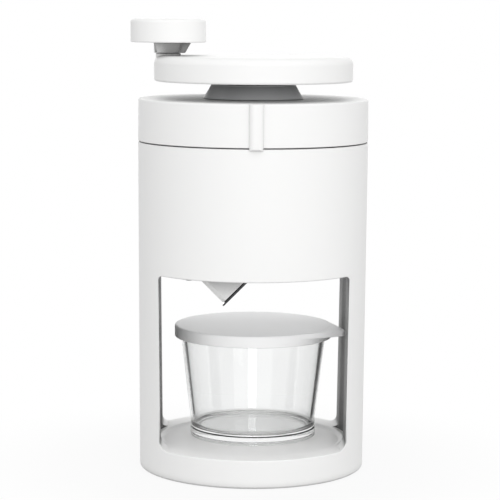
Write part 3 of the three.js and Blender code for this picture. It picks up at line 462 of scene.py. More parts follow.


# %% [markdown]
# This group paints shade into the colour. White plastic looks grey deep inside a recess, since the light that
# gets there has bounced many times, and the group darkens the colour there instead of leaving that to the
# lamps. Ambient occlusion measures how open a point is. One reading looks at the piece alone, so that the
# painted shade stays right when the piece moves, and leaves faces that look up alone, because light falls on
# them. The other looks at its neighbours too, close by, and paints the shade that falls between parts.

# %% Painted shade in recesses
def build_painted_recess_shade():
    group, start, end = new_group(
        "painted_recess_shade",
        {"Own Reach": 0.15, "Near Reach": 0.02, "Own Depth": 0.0, "Near Depth": 0.0}, ["Tone"])
    in_the_open, closed_in = 0.95, 0.35
    unless_upward = spread(group, facing(group, "Z"), 0.2, 0.7, -1.0, 0.0)
    painted_shades = []
    for whose, minus in (("Own", unless_upward), ("Near", -1.0)):
        openness = add_node(group, "ShaderNodeAmbientOcclusion", {"Distance": start[f"{whose} Reach"]},
                            samples=12, only_local=whose == "Own").outputs["AO"]
        shade = spread(group, openness, in_the_open, closed_in)
        depth = calculate(group, "MULTIPLY", start[f"{whose} Depth"], minus)
        painted_shades.append(calculate(group, "MULTIPLY_ADD", shade, depth, 1.0))
    # The Tone that leaves this group is painted shade, to be multiplied into a colour.
    feed(group, end, {"Tone": calculate(group, "MULTIPLY", *painted_shades)})
    return group


painted_recess_shade = build_painted_recess_shade()
print("recess shade is ready")


# %% [markdown]
# The plastics differ in colour, sheen, grain and painted shade, so one recipe builds them all: the skin sets
# tone, roughness and bump, the painted recess shade darkens the colour in recesses and between parts, polish
# makes the edges glossier, and dust dulls what faces up. The four whites are one plastic, shaded copies of
# it, each with the depth of painted shade that fits where its piece sits.

# %% Plastics
dust_colour, polish_gloss, skin_height = (0.62, 0.61, 0.58, 1.0), -0.16, 0.00004


def use_group(tree, group, **values):
    made = add_node(tree, "ShaderNodeGroup", node_tree=group)
    feed(tree, made, {label.replace("_", " "): value for label, value in values.items()})
    return made.outputs


def scaled(tree, colour, by):
    made = add_node(tree, "ShaderNodeVectorMath", {0: colour, "Scale": by}, operation="SCALE")
    return made.outputs["Vector"]


def blended(tree, share, first, second):
    """A mix of two colours, through the numbered sockets that a Mix node keeps for colours."""
    return add_node(tree, "ShaderNodeMix", {0: share, 6: first, 7: second}, data_type="RGBA").outputs[2]


def bumped(tree, height, strength, distance):
    return add_node(tree, "ShaderNodeBump", {
        "Height": height, "Strength": strength, "Distance": distance}).outputs["Normal"]


def new_material(name):
    """A material, with its node tree and its shader."""
    made = bpy.data.materials.new(name)
    made.use_nodes = True
    return made, made.node_tree, made.node_tree.nodes["Principled BSDF"]


def plastic(name, colour, rough, grain, bump, tone_swing=0.012, dust=0.12, polish=0.5, specular=0.4,
            own_depth=0.0, near_depth=0.0, near_reach=0.02):
    """A moulded plastic: colour, roughness range, grain size per metre and bump strength."""
    made, tree, shader = new_material(name)
    shader.inputs["Specular IOR Level"].default_value = specular
    skin = use_group(tree, moulded_skin, Grain_Size=grain, Tone_Swing=tone_swing,
                     Rough_Low=rough[0], Rough_High=rough[1])
    painted_shade = use_group(tree, painted_recess_shade, Own_Depth=own_depth, Near_Depth=near_depth, Near_Reach=near_reach)
    worn = use_group(tree, edge_polish, Amount=polish)
    dusty = use_group(tree, settled_dust, Amount=dust)
    # The colour is scaled by the skin's random tone and by the painted recess shade.
    toned = scaled(tree, colour, calculate(tree, "MULTIPLY", skin["Tone"], painted_shade["Tone"]))
    glossier = calculate(tree, "MULTIPLY", worn["Mask"], polish_gloss)
    feed(tree, shader, {
        "Base Color": blended(tree, dusty["Mask"], toned, dust_colour),
        "Roughness": calculate(tree, "ADD", skin["Roughness"], glossier),
        "Normal": bumped(tree, skin["Height"], bump, skin_height),
    })
    return made


# Painted shade: the body darkens in its own recesses, most of all on the inner faces of the posts, and each
# white darkens near its neighbours, the lid under the disc, the socket under the knob, the holder under the
# chamber.
for name, shades in (
    ("white_plastic", {"own_depth": 0.93, "near_depth": 0.35, "near_reach": 0.005}),
    ("crank_white_painted_shade", {"near_depth": 0.8, "near_reach": 0.009}),
    ("lid_white_painted_shade", {"near_depth": 0.4}),
    ("holder_white_painted_shade", {"near_depth": 0.5}),
):
    materials_for[name] = plastic(
        name, (0.885, 0.885, 0.88), (0.44, 0.54), 1700.0, 0.22, specular=0.2, **shades)

# The grey plastic of the neck also paints the shade that the disc and the lid throw on it.
for name, colour, rough, grain, bump, more in (
    ("inner_plastic", (0.80, 0.805, 0.81), (0.42, 0.55), 1300.0, 0.3, {"tone_swing": 0.02}),
    ("grey_plastic", (0.52, 0.524, 0.53), (0.36, 0.5), 1500.0, 0.3,
     {"tone_swing": 0.04, "specular": 0.3, "near_depth": 0.6, "near_reach": 0.009}),
    ("bearing_plastic", (0.70, 0.67, 0.60), (0.3, 0.42), 1100.0, 0.2, {"tone_swing": 0.03}),
    ("soft_grip", (0.56, 0.565, 0.57), (0.78, 0.92), 2200.0, 0.6,
     {"tone_swing": 0.05, "polish": 0.1, "specular": 0.25}),
):
    materials_for[name] = plastic(name, colour, rough, grain, bump, **more)
print("plastics:", sorted(materials_for))


# %% [markdown]
# The blade, the shaft and the spring are stainless steel, with the fine lines of a grinding belt.
# The lines come from a noise stretched along one direction; they vary the roughness and lift a faint bump.
# The blade's end faces are painted almost black, which is painted shade. Screws are turned and plated, so
# theirs run round and are softer.

# %% Steels
bare_edge, painted_end_shade, line_height = (0.86, 0.87, 0.88, 1.0), (0.035, 0.035, 0.037, 1.0), 0.00003


def ground_steel(name, colour, rough, stretch, bump, end_shade=0.0):
    made, tree, shader = new_material(name)
    shader.inputs["Metallic"].default_value = 1.0
    drawn = add_node(tree, "ShaderNodeMapping", {"Vector": object_place(tree), "Scale": stretch})
    lines = noise(tree, drawn.outputs["Vector"], 1.0, detail=4.0, roughness=0.7)
    toned = scaled(tree, colour, spread(tree, lines, *usual_noise, 0.9, 1.04))
    worn = use_group(tree, edge_polish, Amount=0.8)
    along_blade = calculate(tree, "ABSOLUTE", facing(tree, "Y"))
    # Painted shade: the faces that look along the blade, its ends, are blended towards near black.
    at_end = spread(tree, along_blade, 0.8, 0.95, 0.0, end_shade)
    ground = blended(tree, worn["Mask"], toned, bare_edge)
    feed(tree, shader, {
        "Base Color": blended(tree, at_end, ground, painted_end_shade),
        "Roughness": spread(tree, lines, *usual_noise, *rough),
        "Normal": bumped(tree, lines, bump, line_height),
    })
    return made


for name, colour, rough, stretch, bump, end_shade in (
    ("steel", (0.60, 0.61, 0.62), (0.2, 0.36), (900.0, 60.0, 900.0), 0.12, 0.0),
    ("blade_steel", (0.56, 0.57, 0.58), (0.16, 0.3), (900.0, 60.0, 900.0), 0.12, 1.0),
    ("screw_steel", (0.50, 0.51, 0.52), (0.28, 0.45), (700.0, 700.0, 90.0), 0.15, 0.0),
):
    materials_for[name] = ground_steel(name, colour, rough, stretch, bump, end_shade)
print("steels are ready")


# %% [markdown]
# The bowl is clear pressed glass. Transmission on a closed solid with real walls bends the view
# as the real bowl does, and a faint cool tint and slight waviness show that it is pressed rather
# than optical. Metallic and transmission stay plain numbers, as the export wants.

# %% Glass
def clear_glass():
    made, tree, shader = new_material("clear_glass")
    shader.inputs["Transmission Weight"].default_value = 1.0
    shader.inputs["IOR"].default_value = 1.5
    where = object_place(tree)
    waves = noise(tree, where, 45.0, detail=1.0)
    smears = noise(tree, where, 130.0, detail=5.0, roughness=0.7)
    feed(tree, shader, {
        "Base Color": scaled(tree, (0.972, 0.976, 0.975), spread(tree, waves, *usual_noise, 0.985, 1.0)),
        "Roughness": spread(tree, smears, 0.5, 0.8, 0.008, 0.05),
        "Normal": bumped(tree, waves, 0.05, 0.0004),
    })
    return made


materials_for["clear_glass"] = clear_glass()
print("glass is ready")


# %% [markdown]
# The bowl's lid is a soft translucent plastic, milkier than the body. Light passes a little way
# into it, so it gets some subsurface scattering, and its skin is waxy rather than grained.

# %% Soft lid plastic
def waxy_plastic():
    made = plastic("soft_lid", (0.93, 0.933, 0.933), (0.4, 0.5), 800.0, 0.15, tone_swing=0.01, dust=0.05)
    shader = made.node_tree.nodes["Principled BSDF"]
    shader.inputs["Subsurface Weight"].default_value = 0.3
    shader.inputs["Subsurface Radius"].default_value = (0.004, 0.004, 0.004)
    shader.inputs["Subsurface Scale"].default_value = 0.5
    return made


materials_for["soft_lid"] = waxy_plastic()
print("soft lid plastic is ready")


# %% [markdown]
# The body is one moulding: a drafted wall, a bore for the bowl and the ice chamber, and a window
# cut straight through from front to back, which leaves two posts. The wall is spun from its half
# section. Two extra rings beside the window keep the shading of the tall wall faces even. The
# only sharp edges of the outer wall between sill and lintel are the window's, so a bevel finds
# them by their place.

# %% Body
body_low, body_high = box_mm("body_frame")
chamber_low, chamber_high = box_mm("ice_chamber")
rim_radius, body_top, body_foot = body_high.x, body_high.z, body_low.z
base_radius, bore_radius = rim_radius - 1.0, rim_radius - 10.4
cavity_radius, tray_radius = base_radius - 4.5, bore_radius - 2.4
sill_height, tray_height, cavity_top = 16.4, 14.8, 11.8
window_top = chamber_low.z - 0.7
half_top, half_foot = bore_radius - 1.8, bore_radius - 2.9
foot_round, top_round, edge_round = 4.5, 2.2, 0.8
rebate_radius, rebate_height = rim_radius - 2.2, body_top - 2.9
shell_inner, lip_top = rim_radius - 3.8, window_top + 4.3
key_half = 2.5
cover_screws = ("cover_screw_1", "cover_screw_2", "cover_screw_3")


def off_axis(point, centre=(0.0, 0.0)):
    """How far a point lies from an upright axis."""
    return hypot(point.x - centre[0], point.y - centre[1])


def wall_radius(height):
    """Radius of the outer wall at a height, which grows with the mould's draft."""
    return base_radius + (rim_radius - base_radius) * (height - body_foot) / (body_top - body_foot)


def on_window_edge(point, near=0.02):
    """Whether a point lies on the outer wall and no lower or higher than the window."""
    return off_axis(point) > base_radius - 0.3 and sill_height - near < point.z < window_top + near


def make_body():
    mesh = spun([
        (0, cavity_top), (cavity_radius, cavity_top, 1.0), (cavity_radius, body_foot, 0.3),
        (base_radius, body_foot, 1.4), (wall_radius(sill_height - 1), sill_height - 1),
        (wall_radius(window_top + 1), window_top + 1), (rim_radius, body_top, 0.6),
        (rebate_radius, body_top, 0.2), (rebate_radius, rebate_height), (shell_inner, rebate_height),
        (shell_inner, lip_top, 0.4), (bore_radius, lip_top, 0.4), (bore_radius, window_top + 1),
        (bore_radius, sill_height, 0.2), (tray_radius, sill_height, 1.2),
        (tray_radius - 1.6, tray_height, 2.0), (0, tray_height),
    ], steps=160)
    reach = rim_radius + far
    window = prism([
        (-half_foot, sill_height, foot_round), (half_foot, sill_height, foot_round),
        (half_top, window_top, top_round), (-half_top, window_top, top_round),
    ], "y", -reach, 2 * reach)
    keys = bars_round(3, pi / 6, (rebate_radius - 1.5, -key_half, rebate_height - over),
                      (rebate_radius + 1, key_half, body_top - 0.2))
    mesh = combined(combined(mesh, [window]), keys, "UNION")
    boss_foot = box_mm("base_cover")[1].z + seat_gap
    mesh = bossed(mesh, cover_screws, 4.0, boss_foot, cavity_top + 1.5, boss_foot + 7)
    bmesh.ops.dissolve_limit(
        mesh, angle_limit=radians(0.3), verts=mesh.verts, edges=mesh.edges, delimit={"NORMAL"})
    soften(mesh, edge_round, lambda one, two: on_window_edge(one) and on_window_edge(two))
    return mesh


# The body's finish paints shade in its recesses, on the inner faces of the posts most of all.
finish_piece("body", make_body(), "body", "white_plastic", ["body_frame"])


# %% [markdown]
# The lid is a shallow cap with a softly rounded upper edge, and on its front a half round rib
# runs down just past the seam, as a mark for lining it up. The cap is spun, the rib is a box with
# its front edges bevelled, and a Boolean union joins them.

# %% Lid
lid_low, lid_high = box_mm("lid_cap")
neck_low, neck_high = box_mm("bearing_neck")
inner_low, inner_high = box_mm("lid_inner")
lid_top, lid_base = lid_high.z, body_top + 0.6
rib_front, rib_half = lid_low.y, 4.2
boss_rise = 2.9
lid_screws = ("lid_screw_1", "lid_screw_2", "lid_screw_3")
neck_screws = ("neck_screw_1", "neck_screw_2", "neck_screw_3")


def make_rib():
    """A bar with a round front, rounded over at the top and at the tail."""
    tail, inside = lid_base - 1.2, -rim_radius + 2.2
    mesh = prism([
        (-rib_half, inside), (-rib_half, rib_front, 3.5), (rib_half, rib_front, 3.5), (rib_half, inside),
    ], "z", tail, lid_top - tail)
    side = prism([
        (inside, tail), (rib_front, tail, 1.4), (rib_front, lid_top, 0.9), (inside, lid_top),
    ], "x", -2 * rib_half, 4 * rib_half)
    clear = peg(0, 0, tail - far, lid_base + 0.4, rim_radius + 0.4, sides=160)
    return combined(combined(mesh, [side], "INTERSECT"), [clear])


def make_lid():
    hole, roof = 12.3, 3
    cap = spun([
        (rim_radius - 2.6, lid_base), (rim_radius, lid_base, 0.4), (rim_radius - 0.1, lid_top, 0.8),
        (hole, lid_top), (hole, lid_top - roof), (rim_radius - 2.7, lid_top - roof, 1.0),
    ], steps=160)
    cap = combined(cap, [make_rib()], "UNION")
    foot = inner_low.z + boss_rise
    cap = bossed(cap, lid_screws, 3.8, foot, lid_top - 1.5, foot + 7)
    return drilled(cap, neck_screws, lid_top - far, lid_top + over)


# The lid's finish paints the shade that the disc throws on its top.
finish_piece("lid", make_lid(), "lid", "white_plastic", ["lid_cap"], finish="lid_white_painted_shade")


# %% [markdown]
# The neck is a grey flared cone between the lid and the disc, and its finish paints the shade of both on to
# it. It carries the bearing in a tube through the lid's roof. It is a plain turned form, so its section alone
# gives the shape.

# %% Neck
def make_neck():
    foot, waist, tube, bore, wall = neck_high.x, neck_high.x - 4.0, 12.0, 8.8, 2.6
    low, high = lid_top + seat_gap, neck_high.z
    mesh = spun([
        (bore, neck_low.z), (tube, neck_low.z), (tube, high - wall), (waist - wall, high - wall),
        (foot - wall, low), (foot, low), (foot, low + 0.3), (waist, high - 0.6, 1.0), (waist, high),
        (bore, high),
    ], steps=128)
    return bossed(mesh, neck_screws, 3.6, low, high - wall / 2, high - wall)


finish_piece("neck", make_neck(), "lid", "grey_plastic", ["bearing_neck"])


# %% [markdown]
# The crank is a flat round cover with a wide soft shoulder. The knob's post comes up through a
# hole near its edge. The cover is spun and the hole is cut with a round peg.

# %% Crank disc
disc_low, disc_high = box_mm("crank_disc")
knob_low, knob_high = box_mm("knob_body")
knob_x = (knob_low.x + knob_high.x) / 2
knob_axis = (knob_x, 0)
post_radius = 7.0
plate_base = disc_low.z + 0.8
crank_screws = ("crank_screw_1", "crank_screw_2", "crank_screw_3")


def make_disc():
    radius, low, high, wall = disc_high.x, disc_low.z, disc_high.z, 2.4
    mesh = spun([
        (0, high - wall), (radius - wall, high - wall, 2.8), (radius - wall, low, 0.2),
        (radius, low, 1.3), (radius, high, 4.4), (0, high),
    ], steps=160)
    mesh = combined(mesh, [peg(*knob_axis, low, high + far, post_radius + seat_gap, sides=64)])
    foot = plate_base + boss_rise
    return bossed(mesh, crank_screws, 3.8, foot, high - wall / 2, foot + 5.8)


# The disc's finish paints shade near the knob and the plate into its colour.
finish_piece("disc", make_disc(), "crank", "white_plastic", ["crank_disc"], finish="crank_white_painted_shade")


# %% [markdown]
# The knob is a thick puck that spins on the post. Its top is a separate cap, set in flush, so a
# hairline ring shows on it. Both are spun about the knob's own axis.

# %% Knob and its cap
cap_low, cap_high = box_mm("knob_cap")
knob_radius = (knob_high.x - knob_low.x) / 2
cap_radius = (cap_high.x - cap_low.x) / 2


def make_knob():
    bore, hub, low, high = 4.2, 7.5, knob_low.z, knob_high.z
    floor_top, hub_end, seat = low + 2.4, low + 7.4, cap_low.z - seat_gap
    inside, rim = knob_radius - 3.9, cap_radius + 0.3
    return spun([
        (bore, low), (knob_radius, low, 0.8), (knob_radius, high, 1.9), (rim, high, 0.15), (rim, seat),
        (inside, seat), (inside, floor_top, 1.0), (hub, floor_top, 0.6), (hub, hub_end, 0.4),
        (bore, hub_end),
    ], steps=112, centre=knob_axis)


def make_knob_cap():
    return spun([
        (0, cap_low.z), (cap_radius, cap_low.z), (cap_radius, cap_high.z, 0.3), (0, cap_high.z),
    ], steps=112, centre=knob_axis)


finish_piece("knob", make_knob(), "knob", "white_plastic", ["knob_body"])
finish_piece("knob_top", make_knob_cap(), "knob", "white_plastic", ["knob_cap"])


# %% [markdown]
# Under the knob the post rises out of the disc, and a fixed socket sits on it. The socket's front
# flares only a little, while its back widens to a wedge that is cut flat near the disc's edge. The
# two cones are joined, and the wedge is trimmed to its outline with an intersection.

# %% Knob post and socket
post_low, post_high = box_mm("knob_post")
socket_low, socket_high = box_mm("knob_socket")


def make_post():
    shoulder, groove, spindle, neck = disc_high.z + 1.25, knob_low.z + 7.7, 4.0, 3.2
    mesh = spun([
        (0, post_low.z), (post_radius, post_low.z, 0.3), (post_radius, shoulder, 0.3),
        (spindle, shoulder), (spindle, groove), (neck, groove), (neck, groove + 1.2),
        (spindle, groove + 1.2), (spindle, post_high.z, 0.4), (0, post_high.z),
    ], steps=64, centre=knob_axis)
    return drilled(mesh, ["knob_screw"], post_low.z - over, post_low.z + 4)


def make_socket():
    low, high, wedge_left, wedge_front, beyond = socket_low.z, socket_high.z, knob_x - 8.0, -3.4, 16
    front = peg(*knob_axis, low, high, post_radius, post_radius + 1.3, sides=96)
    back = spun([(0, low), (9.5, low, 0.9), (12.8, high), (0, high)], steps=96, centre=knob_axis)
    keep = prism([
        (wedge_left, wedge_front, 0.9), (knob_x + beyond, wedge_front), (knob_x + beyond, beyond),
        (wedge_left, beyond),
    ], "z", low - far, high - low + 2 * far)
    mesh = combined(front, [combined(back, [keep], "INTERSECT")], "UNION")
    mesh = combined(mesh, [peg(*knob_axis, low - far, high + far, 4.3, sides=48)])
    soften(mesh, 0.25, segments=2, least_angle=40)
    return mesh


# The post and the socket paint the shade under the knob into their colour.
finish_piece("post", make_post(), "crank", "white_plastic", ["knob_post"], finish="crank_white_painted_shade")
finish_piece("socket", make_socket(), "crank", "white_plastic", ["knob_socket"], finish="crank_white_painted_shade")


# %% [markdown]
# The bowl is a conical glass with a thick floor and a turned in foot. The foot's waist and the
# rounded corners are what give pressed glass its dark rings, so the section keeps every one. The
# floor is hollowed from below, which sends the light along it and out of the foot as a white
# band. The glass casts no shadow, because light that is bent through it still reaches the tray.

# %% Glass bowl
bowl_low, bowl_high = box_mm("glass_bowl")
bowl_centre = ((bowl_low.x + bowl_high.x) / 2, (bowl_low.y + bowl_high.y) / 2)
mouth_radius = (bowl_high.x - bowl_low.x) / 2


def make_bowl():
    foot, waist, low, high, wall = mouth_radius - 6.0, mouth_radius - 6.5, bowl_low.z, bowl_high.z, 2.7
    hollow, floor_top = low + 1.8, low + 5.4
    return spun([
        (0, hollow), (foot - 1.6, hollow, 0.6), (foot - 1.6, low, 0.2), (foot, low, 0.4),
        (foot, low + 4.6, 0.25), (waist, low + 5.2, 0.25), (mouth_radius, high, 1.0),
        (mouth_radius - wall, high, 1.0), (waist - wall, floor_top, 3.5), (0, floor_top),
    ], steps=160, centre=bowl_centre)


bowl = finish_piece("bowl", make_bowl(), "bowl", "clear_glass", ["glass_bowl"], keen=60)
bowl.visible_shadow = False


# %% [markdown]
# The soft lid has a skirt outside the glass, a short plug inside it and a pull tab at one side.
# The tab is the hull of the lid's rim and the tab's round tip, with the lid's own disc cut out
# of it, so its sides run off the rim as tangents.

# %% Bowl lid
cover_low, cover_high = box_mm("bowl_lid")
cover_radius = bowl_centre[0] - cover_low.x


def make_tab(high):
    tip_radius, tip_ahead, low = 5.0, 8.0, high - 3.0
    hull = peg(cover_high.x - tip_radius, -tip_ahead, low, high, tip_radius, sides=32)
    peg(*bowl_centre, low, high, cover_radius - 0.6, sides=144, mesh=hull)
    wrapped = bmesh.ops.convex_hull(hull, input=hull.verts)
    spare = [part for part in wrapped["geom_interior"] + wrapped["geom_unused"]
             if isinstance(part, bmesh.types.BMVert)]
    bmesh.ops.delete(hull, geom=spare, context="VERTS")
    bmesh.ops.dissolve_limit(hull, angle_limit=radians(0.5), verts=hull.verts, edges=hull.edges)
    return combined(hull, [peg(*bowl_centre, low - far, high + far, cover_radius - 1.2, sides=144)])


def make_cover():
    skirt, plug = cover_radius - 2.3, mouth_radius - 3.5
    under, high, foot = cover_high.z - 1.8, cover_high.z, cover_low.z
    mesh = spun([
        (0, under), (plug - 1.7, under, 0.4), (plug - 1.7, under - 3.6, 0.4), (plug - 0.4, under - 3.6, 0.3),
        (plug, under), (skirt, under), (skirt, foot, 0.3), (cover_radius, foot, 0.6),
        (cover_radius, high, 1.3), (0, high),
    ], steps=144, centre=bowl_centre)
    mesh = combined(mesh, [make_tab(high - 0.2)], "UNION")
    soften(mesh, 0.5, lambda *ends: min(off_axis(end, bowl_centre) for end in ends) > cover_radius + 0.2)
    return mesh


finish_piece("cover", make_cover(), "bowl_cover", "soft_lid", ["bowl_lid"])


# %% [markdown]
# The blade's holder is a wedge that hangs under the chamber, with a flat ear for its screws. Its
# front left slope is chamfered. It is a triangle carried along the blade, then cut by a plane.

# %% Blade holder
holder_low, holder_high = box_mm("blade_holder")
blade_low, blade_high = box_mm("blade")
blade_length = blade_high.y - blade_low.y
blade_span = blade_length / 4
blade_screw_places = (blade_low.y + blade_span, blade_high.y - blade_span)
holder_screws = ("holder_screw_1", "holder_screw_2")
across_face = Matrix.Rotation(radians(135), 4, "Y")
apex_below, screws_along_face, ear_ahead, ear_thickness = 1.06, 9, 10.36, 3


def blade_face_x(height, behind=0.0):
    """X of the blade's right face at a height, or of a face that far behind it."""
    return blade_high.x + height - blade_high.z - behind * sqrt(2)


def on_blade_face(mesh, y):
    """Turns an upright tool on to the blade's face and puts it where a screw goes."""
    apex_z, rise = holder_low.z - apex_below, screws_along_face / sqrt(2)
    place = Matrix.Translation(Vector((blade_face_x(apex_z) + rise, y, apex_z + rise)) * MM)
    bmesh.ops.transform(mesh, matrix=place @ across_face, verts=mesh.verts)
    bmesh.ops.recalc_face_normals(mesh, faces=mesh.faces)
    return mesh


def make_holder():
    drop, chamfer = holder_high.z - holder_low.z, 2.2
    nose, left_top = holder_high.x - drop, holder_high.x - 2 * drop
    mesh = prism([
        (nose, holder_low.z), (holder_high.x, holder_high.z), (left_top, holder_high.z),
    ], "y", holder_low.y, holder_high.y - holder_low.y)
    slope, front = Vector((-1, 0, -1)).normalized(), Vector((0, -1, 0))
    edge_point = Vector((nose, holder_low.y, holder_low.z)) * MM
    bmesh.ops.bisect_plane(
        mesh, geom=mesh.verts[:] + mesh.edges[:] + mesh.faces[:],
        plane_co=edge_point - slope * chamfer * MM, plane_no=(slope + front).normalized(), clear_outer=True)
    bmesh.ops.holes_fill(mesh, edges=mesh.edges, sides=8)
    bmesh.ops.recalc_face_normals(mesh, faces=mesh.faces)
    ear = bar((holder_low.x, holder_low.y + ear_ahead, holder_high.z - ear_thickness),
              (nose, holder_high.y, holder_high.z))
    mesh = combined(mesh, [ear], "UNION")
    soften(mesh, 0.3, segments=2, least_angle=25)
    mesh = drilled(mesh, holder_screws, holder_low.z, holder_high.z + over)
    return combined(mesh, [on_blade_face(peg(0, 0, -7.3, far, screw_hole, sides=24), y)
                           for y in blade_screw_places])


# The holder's finish paints the shade under the chamber into its colour.
finish_piece("holder", make_holder(), "body", "white_plastic", ["blade_holder"], finish="holder_white_painted_shade")


# %% [markdown]
# The ice chamber is a cup that drops into the body and hangs by its flange. Its floor has a
# slanted mouth that the shavings fall through, three notches in its flange fit the body's keys,
# and three grooves in its rim take the lid's lugs. It is spun, and one Boolean step cuts them all.

# %% Ice chamber
cup_radius, cup_inner, ice_floor = bore_radius - 0.4, bore_radius - 3.0, chamber_low.z + 3.2
lug_half, notch_half, groove_half = 2.5, 2.8, 3


def make_chamber():
    step, behind, ahead = rebate_height + seat_gap, 1.5, 3.4
    low, high = chamber_low.z - far, ice_floor + far
    mesh = spun([
        (0, chamber_low.z), (cup_radius, chamber_low.z, 0.5), (cup_radius, step, 0.3),
        (chamber_high.x, step, 0.3), (chamber_high.x, chamber_high.z, 0.4),
        (cup_inner, chamber_high.z, 0.6), (cup_inner, ice_floor, 1.6), (0, ice_floor),
    ], steps=128)
    mouth = prism([
        (blade_face_x(low, behind), low), (blade_face_x(low) + ahead, low),
        (blade_face_x(high) + ahead, high), (blade_face_x(high, behind), high),
    ], "y", blade_low.y - 0.4, blade_length + 0.8)
    notches = bars_round(3, pi / 6, (rebate_radius - 1.8, -notch_half, step - over),
                         (rim_radius, notch_half, body_top))
    grooves = bars_round(3, -pi / 6, (cup_inner - 4, -groove_half, chamber_high.z - 7.5),
                         (cup_inner + 1.5, groove_half, body_top))
    mesh = combined(mesh, [mouth, *notches, *grooves])
    mesh = drilled(mesh, holder_screws, chamber_low.z - over, chamber_low.z + 1.6)
    soften(mesh, 0.25, lambda *ends: max(map(off_axis, ends)) < cup_inner - 2, segments=2, least_angle=40)
    return mesh


finish_piece("chamber", make_chamber(), "body", "inner_plastic", ["ice_chamber"])


# %% [markdown]
# The blade is a strip of steel on the wedge's right face, ground on its hidden side to an edge that
# stands just above the chamber's floor. Two countersunk screws hold it, so its holes are cones.

# %% Blade and its screws
def make_blade():
    inward, ground, tail = 1.0 / sqrt(2), 2.4 / sqrt(2), blade_low.z
    mesh = prism([
        (blade_face_x(tail), tail), (blade_high.x, blade_high.z),
        (blade_high.x - inward - ground, blade_high.z + inward - ground),
        (blade_face_x(tail) - inward, tail + inward),
    ], "y", blade_low.y, blade_length)
    sunk_hole = [(0, 3), (2.5, 3), (2.5, 0), (screw_hole, -1.0), (screw_hole, -far), (0, -far)]
    mesh = combined(mesh, [on_blade_face(spun(sunk_hole, steps=48), y) for y in blade_screw_places])
    soften(mesh, 0.12, lambda *ends: max(end.z for end in ends) < blade_high.z - 0.3,
           segments=2, least_angle=50)
    return mesh


def cross_recess(low, high, reach, half, at=(0, 0)):
    """Two crossed bars that sink a screwdriver's recess into a head."""
    return [bar((at[0] - a, at[1] - b, low), (at[0] + a, at[1] + b, high))
            for a, b in ((reach, half), (half, reach))]


def make_blade_screw(y):
    thread = threaded(screw_shank, -6.6, -1.6, thread_pitch)
    mesh = spun([
        (0, 0), (2.2, 0, 0.1), (screw_shank, -1.0), *reversed(thread), (0.6, -7), (0, -7)], steps=32)
    return on_blade_face(combined(mesh, cross_recess(-0.6, over, 1.2, 0.3)), y)


finish_piece("blade_strip", make_blade(), "body", "steel", ["blade"], finish="blade_steel")
for i, y in enumerate(blade_screw_places, 1):
    finish_piece(f"blade_fixing_{i}", make_blade_screw(y), "body", "screw_steel", [f"blade_screw_{i}"])


# %% [markdown]
# Under the lid sits a plate with a spigot that drops into the chamber. Its three lugs keep the lid
# from turning with the crank, and three screws from below hold it to the cap.

# %% Inner lid plate
spigot_radius = cup_inner - 0.4


def make_inner_plate():
    low, high, hole, inside = inner_low.z, inner_high.z, 6.5, spigot_radius - 2.4
    seat, floor_top = high - 2.4, low + 2.6
    mesh = spun([
        (hole, low, 0.4), (spigot_radius, low, 0.8), (spigot_radius, seat, 0.4),
        (inner_high.x, seat, 0.4), (inner_high.x, high, 0.3), (inside, high, 0.3),
        (inside, floor_top, 1.0), (hole, floor_top, 0.3),
    ], steps=128)
    lugs = bars_round(3, -pi / 6, (spigot_radius - 1.2, -lug_half, low),
                      (spigot_radius + 1.2, lug_half, seat + 1.2))
    mesh = combined(mesh, lugs, "UNION")
    mesh = countersunk(mesh, lid_screws, low, low + 1.3, floor_top)

    def on_lug(one, two):
        outside = min(off_axis(one), off_axis(two)) > spigot_radius + 0.3
        return outside and max(one.z, two.z) < seat - 0.2

    soften(mesh, 0.3, on_lug, segments=2, least_angle=50)
    return mesh


finish_piece("inner_plate", make_inner_plate(), "lid", "inner_plastic", ["lid_inner"])


# %% [markdown]
# Under the disc a ribbed plate does the crank's work: it is keyed to the shaft, stiffened by six
# ribs and carries the knob's post on a boss. From outside only its underside shows, as a ring
# round the neck, so the ribs are plain bars and the care goes into the edges.

# %% Crank plate
plate_low, plate_high = box_mm("crank_plate")
hub_top = plate_base + 4.2


def make_crank_plate():
    base, top, low = plate_base, plate_base + 2.6, plate_low.z
    throat, radius, hub, rib_half_width = 24.7, plate_high.x, 13.0, 0.9
    shaft_hole, flat_half, boss_hole = 6.2, 4.52, 4.1
    mesh = spun([
        (0, low), (throat, low, 0.5), (throat, base, 0.8), (radius, base, 0.4), (radius, top, 0.3),
        (hub, top, 0.5), (hub, hub_top, 0.4), (0, hub_top),
    ], steps=112)
    ribs = bars_round(6, pi / 6, (hub - 1, -rib_half_width, top - over),
                      (radius - 0.4, rib_half_width, top + 4))
    boss = peg(*knob_axis, top - over, plate_high.z, 5.35, sides=48)
    mesh = combined(mesh, ribs + [boss], "UNION")
    mesh = combined(mesh, [peg(0, 0, low - over, base, shaft_hole, sides=64),
                           flatted(shaft_hole, flat_half, low - over, hub_top + over)])
    mesh = countersunk(mesh, ["knob_screw"], base, base + 1.9, plate_high.z)
    mesh = drilled(mesh, crank_screws, top, top + 5, boss_hole)
    return drilled(mesh, crank_screws, base - over, top + over)


finish_piece("plate", make_crank_plate(), "crank", "inner_plastic", ["crank_plate"])


# %% [markdown]
# The base is closed by a cover with three screws, and the shaver stands on a soft round pad set
# into it. The grooves in the pad's underside give it grip; they are part of the section that is
# spun, so they are real rings.

# %% Base cover and pad
cover_plate_low, cover_plate_high = box_mm("base_cover")
pad_low, pad_high = box_mm("foot_pad")


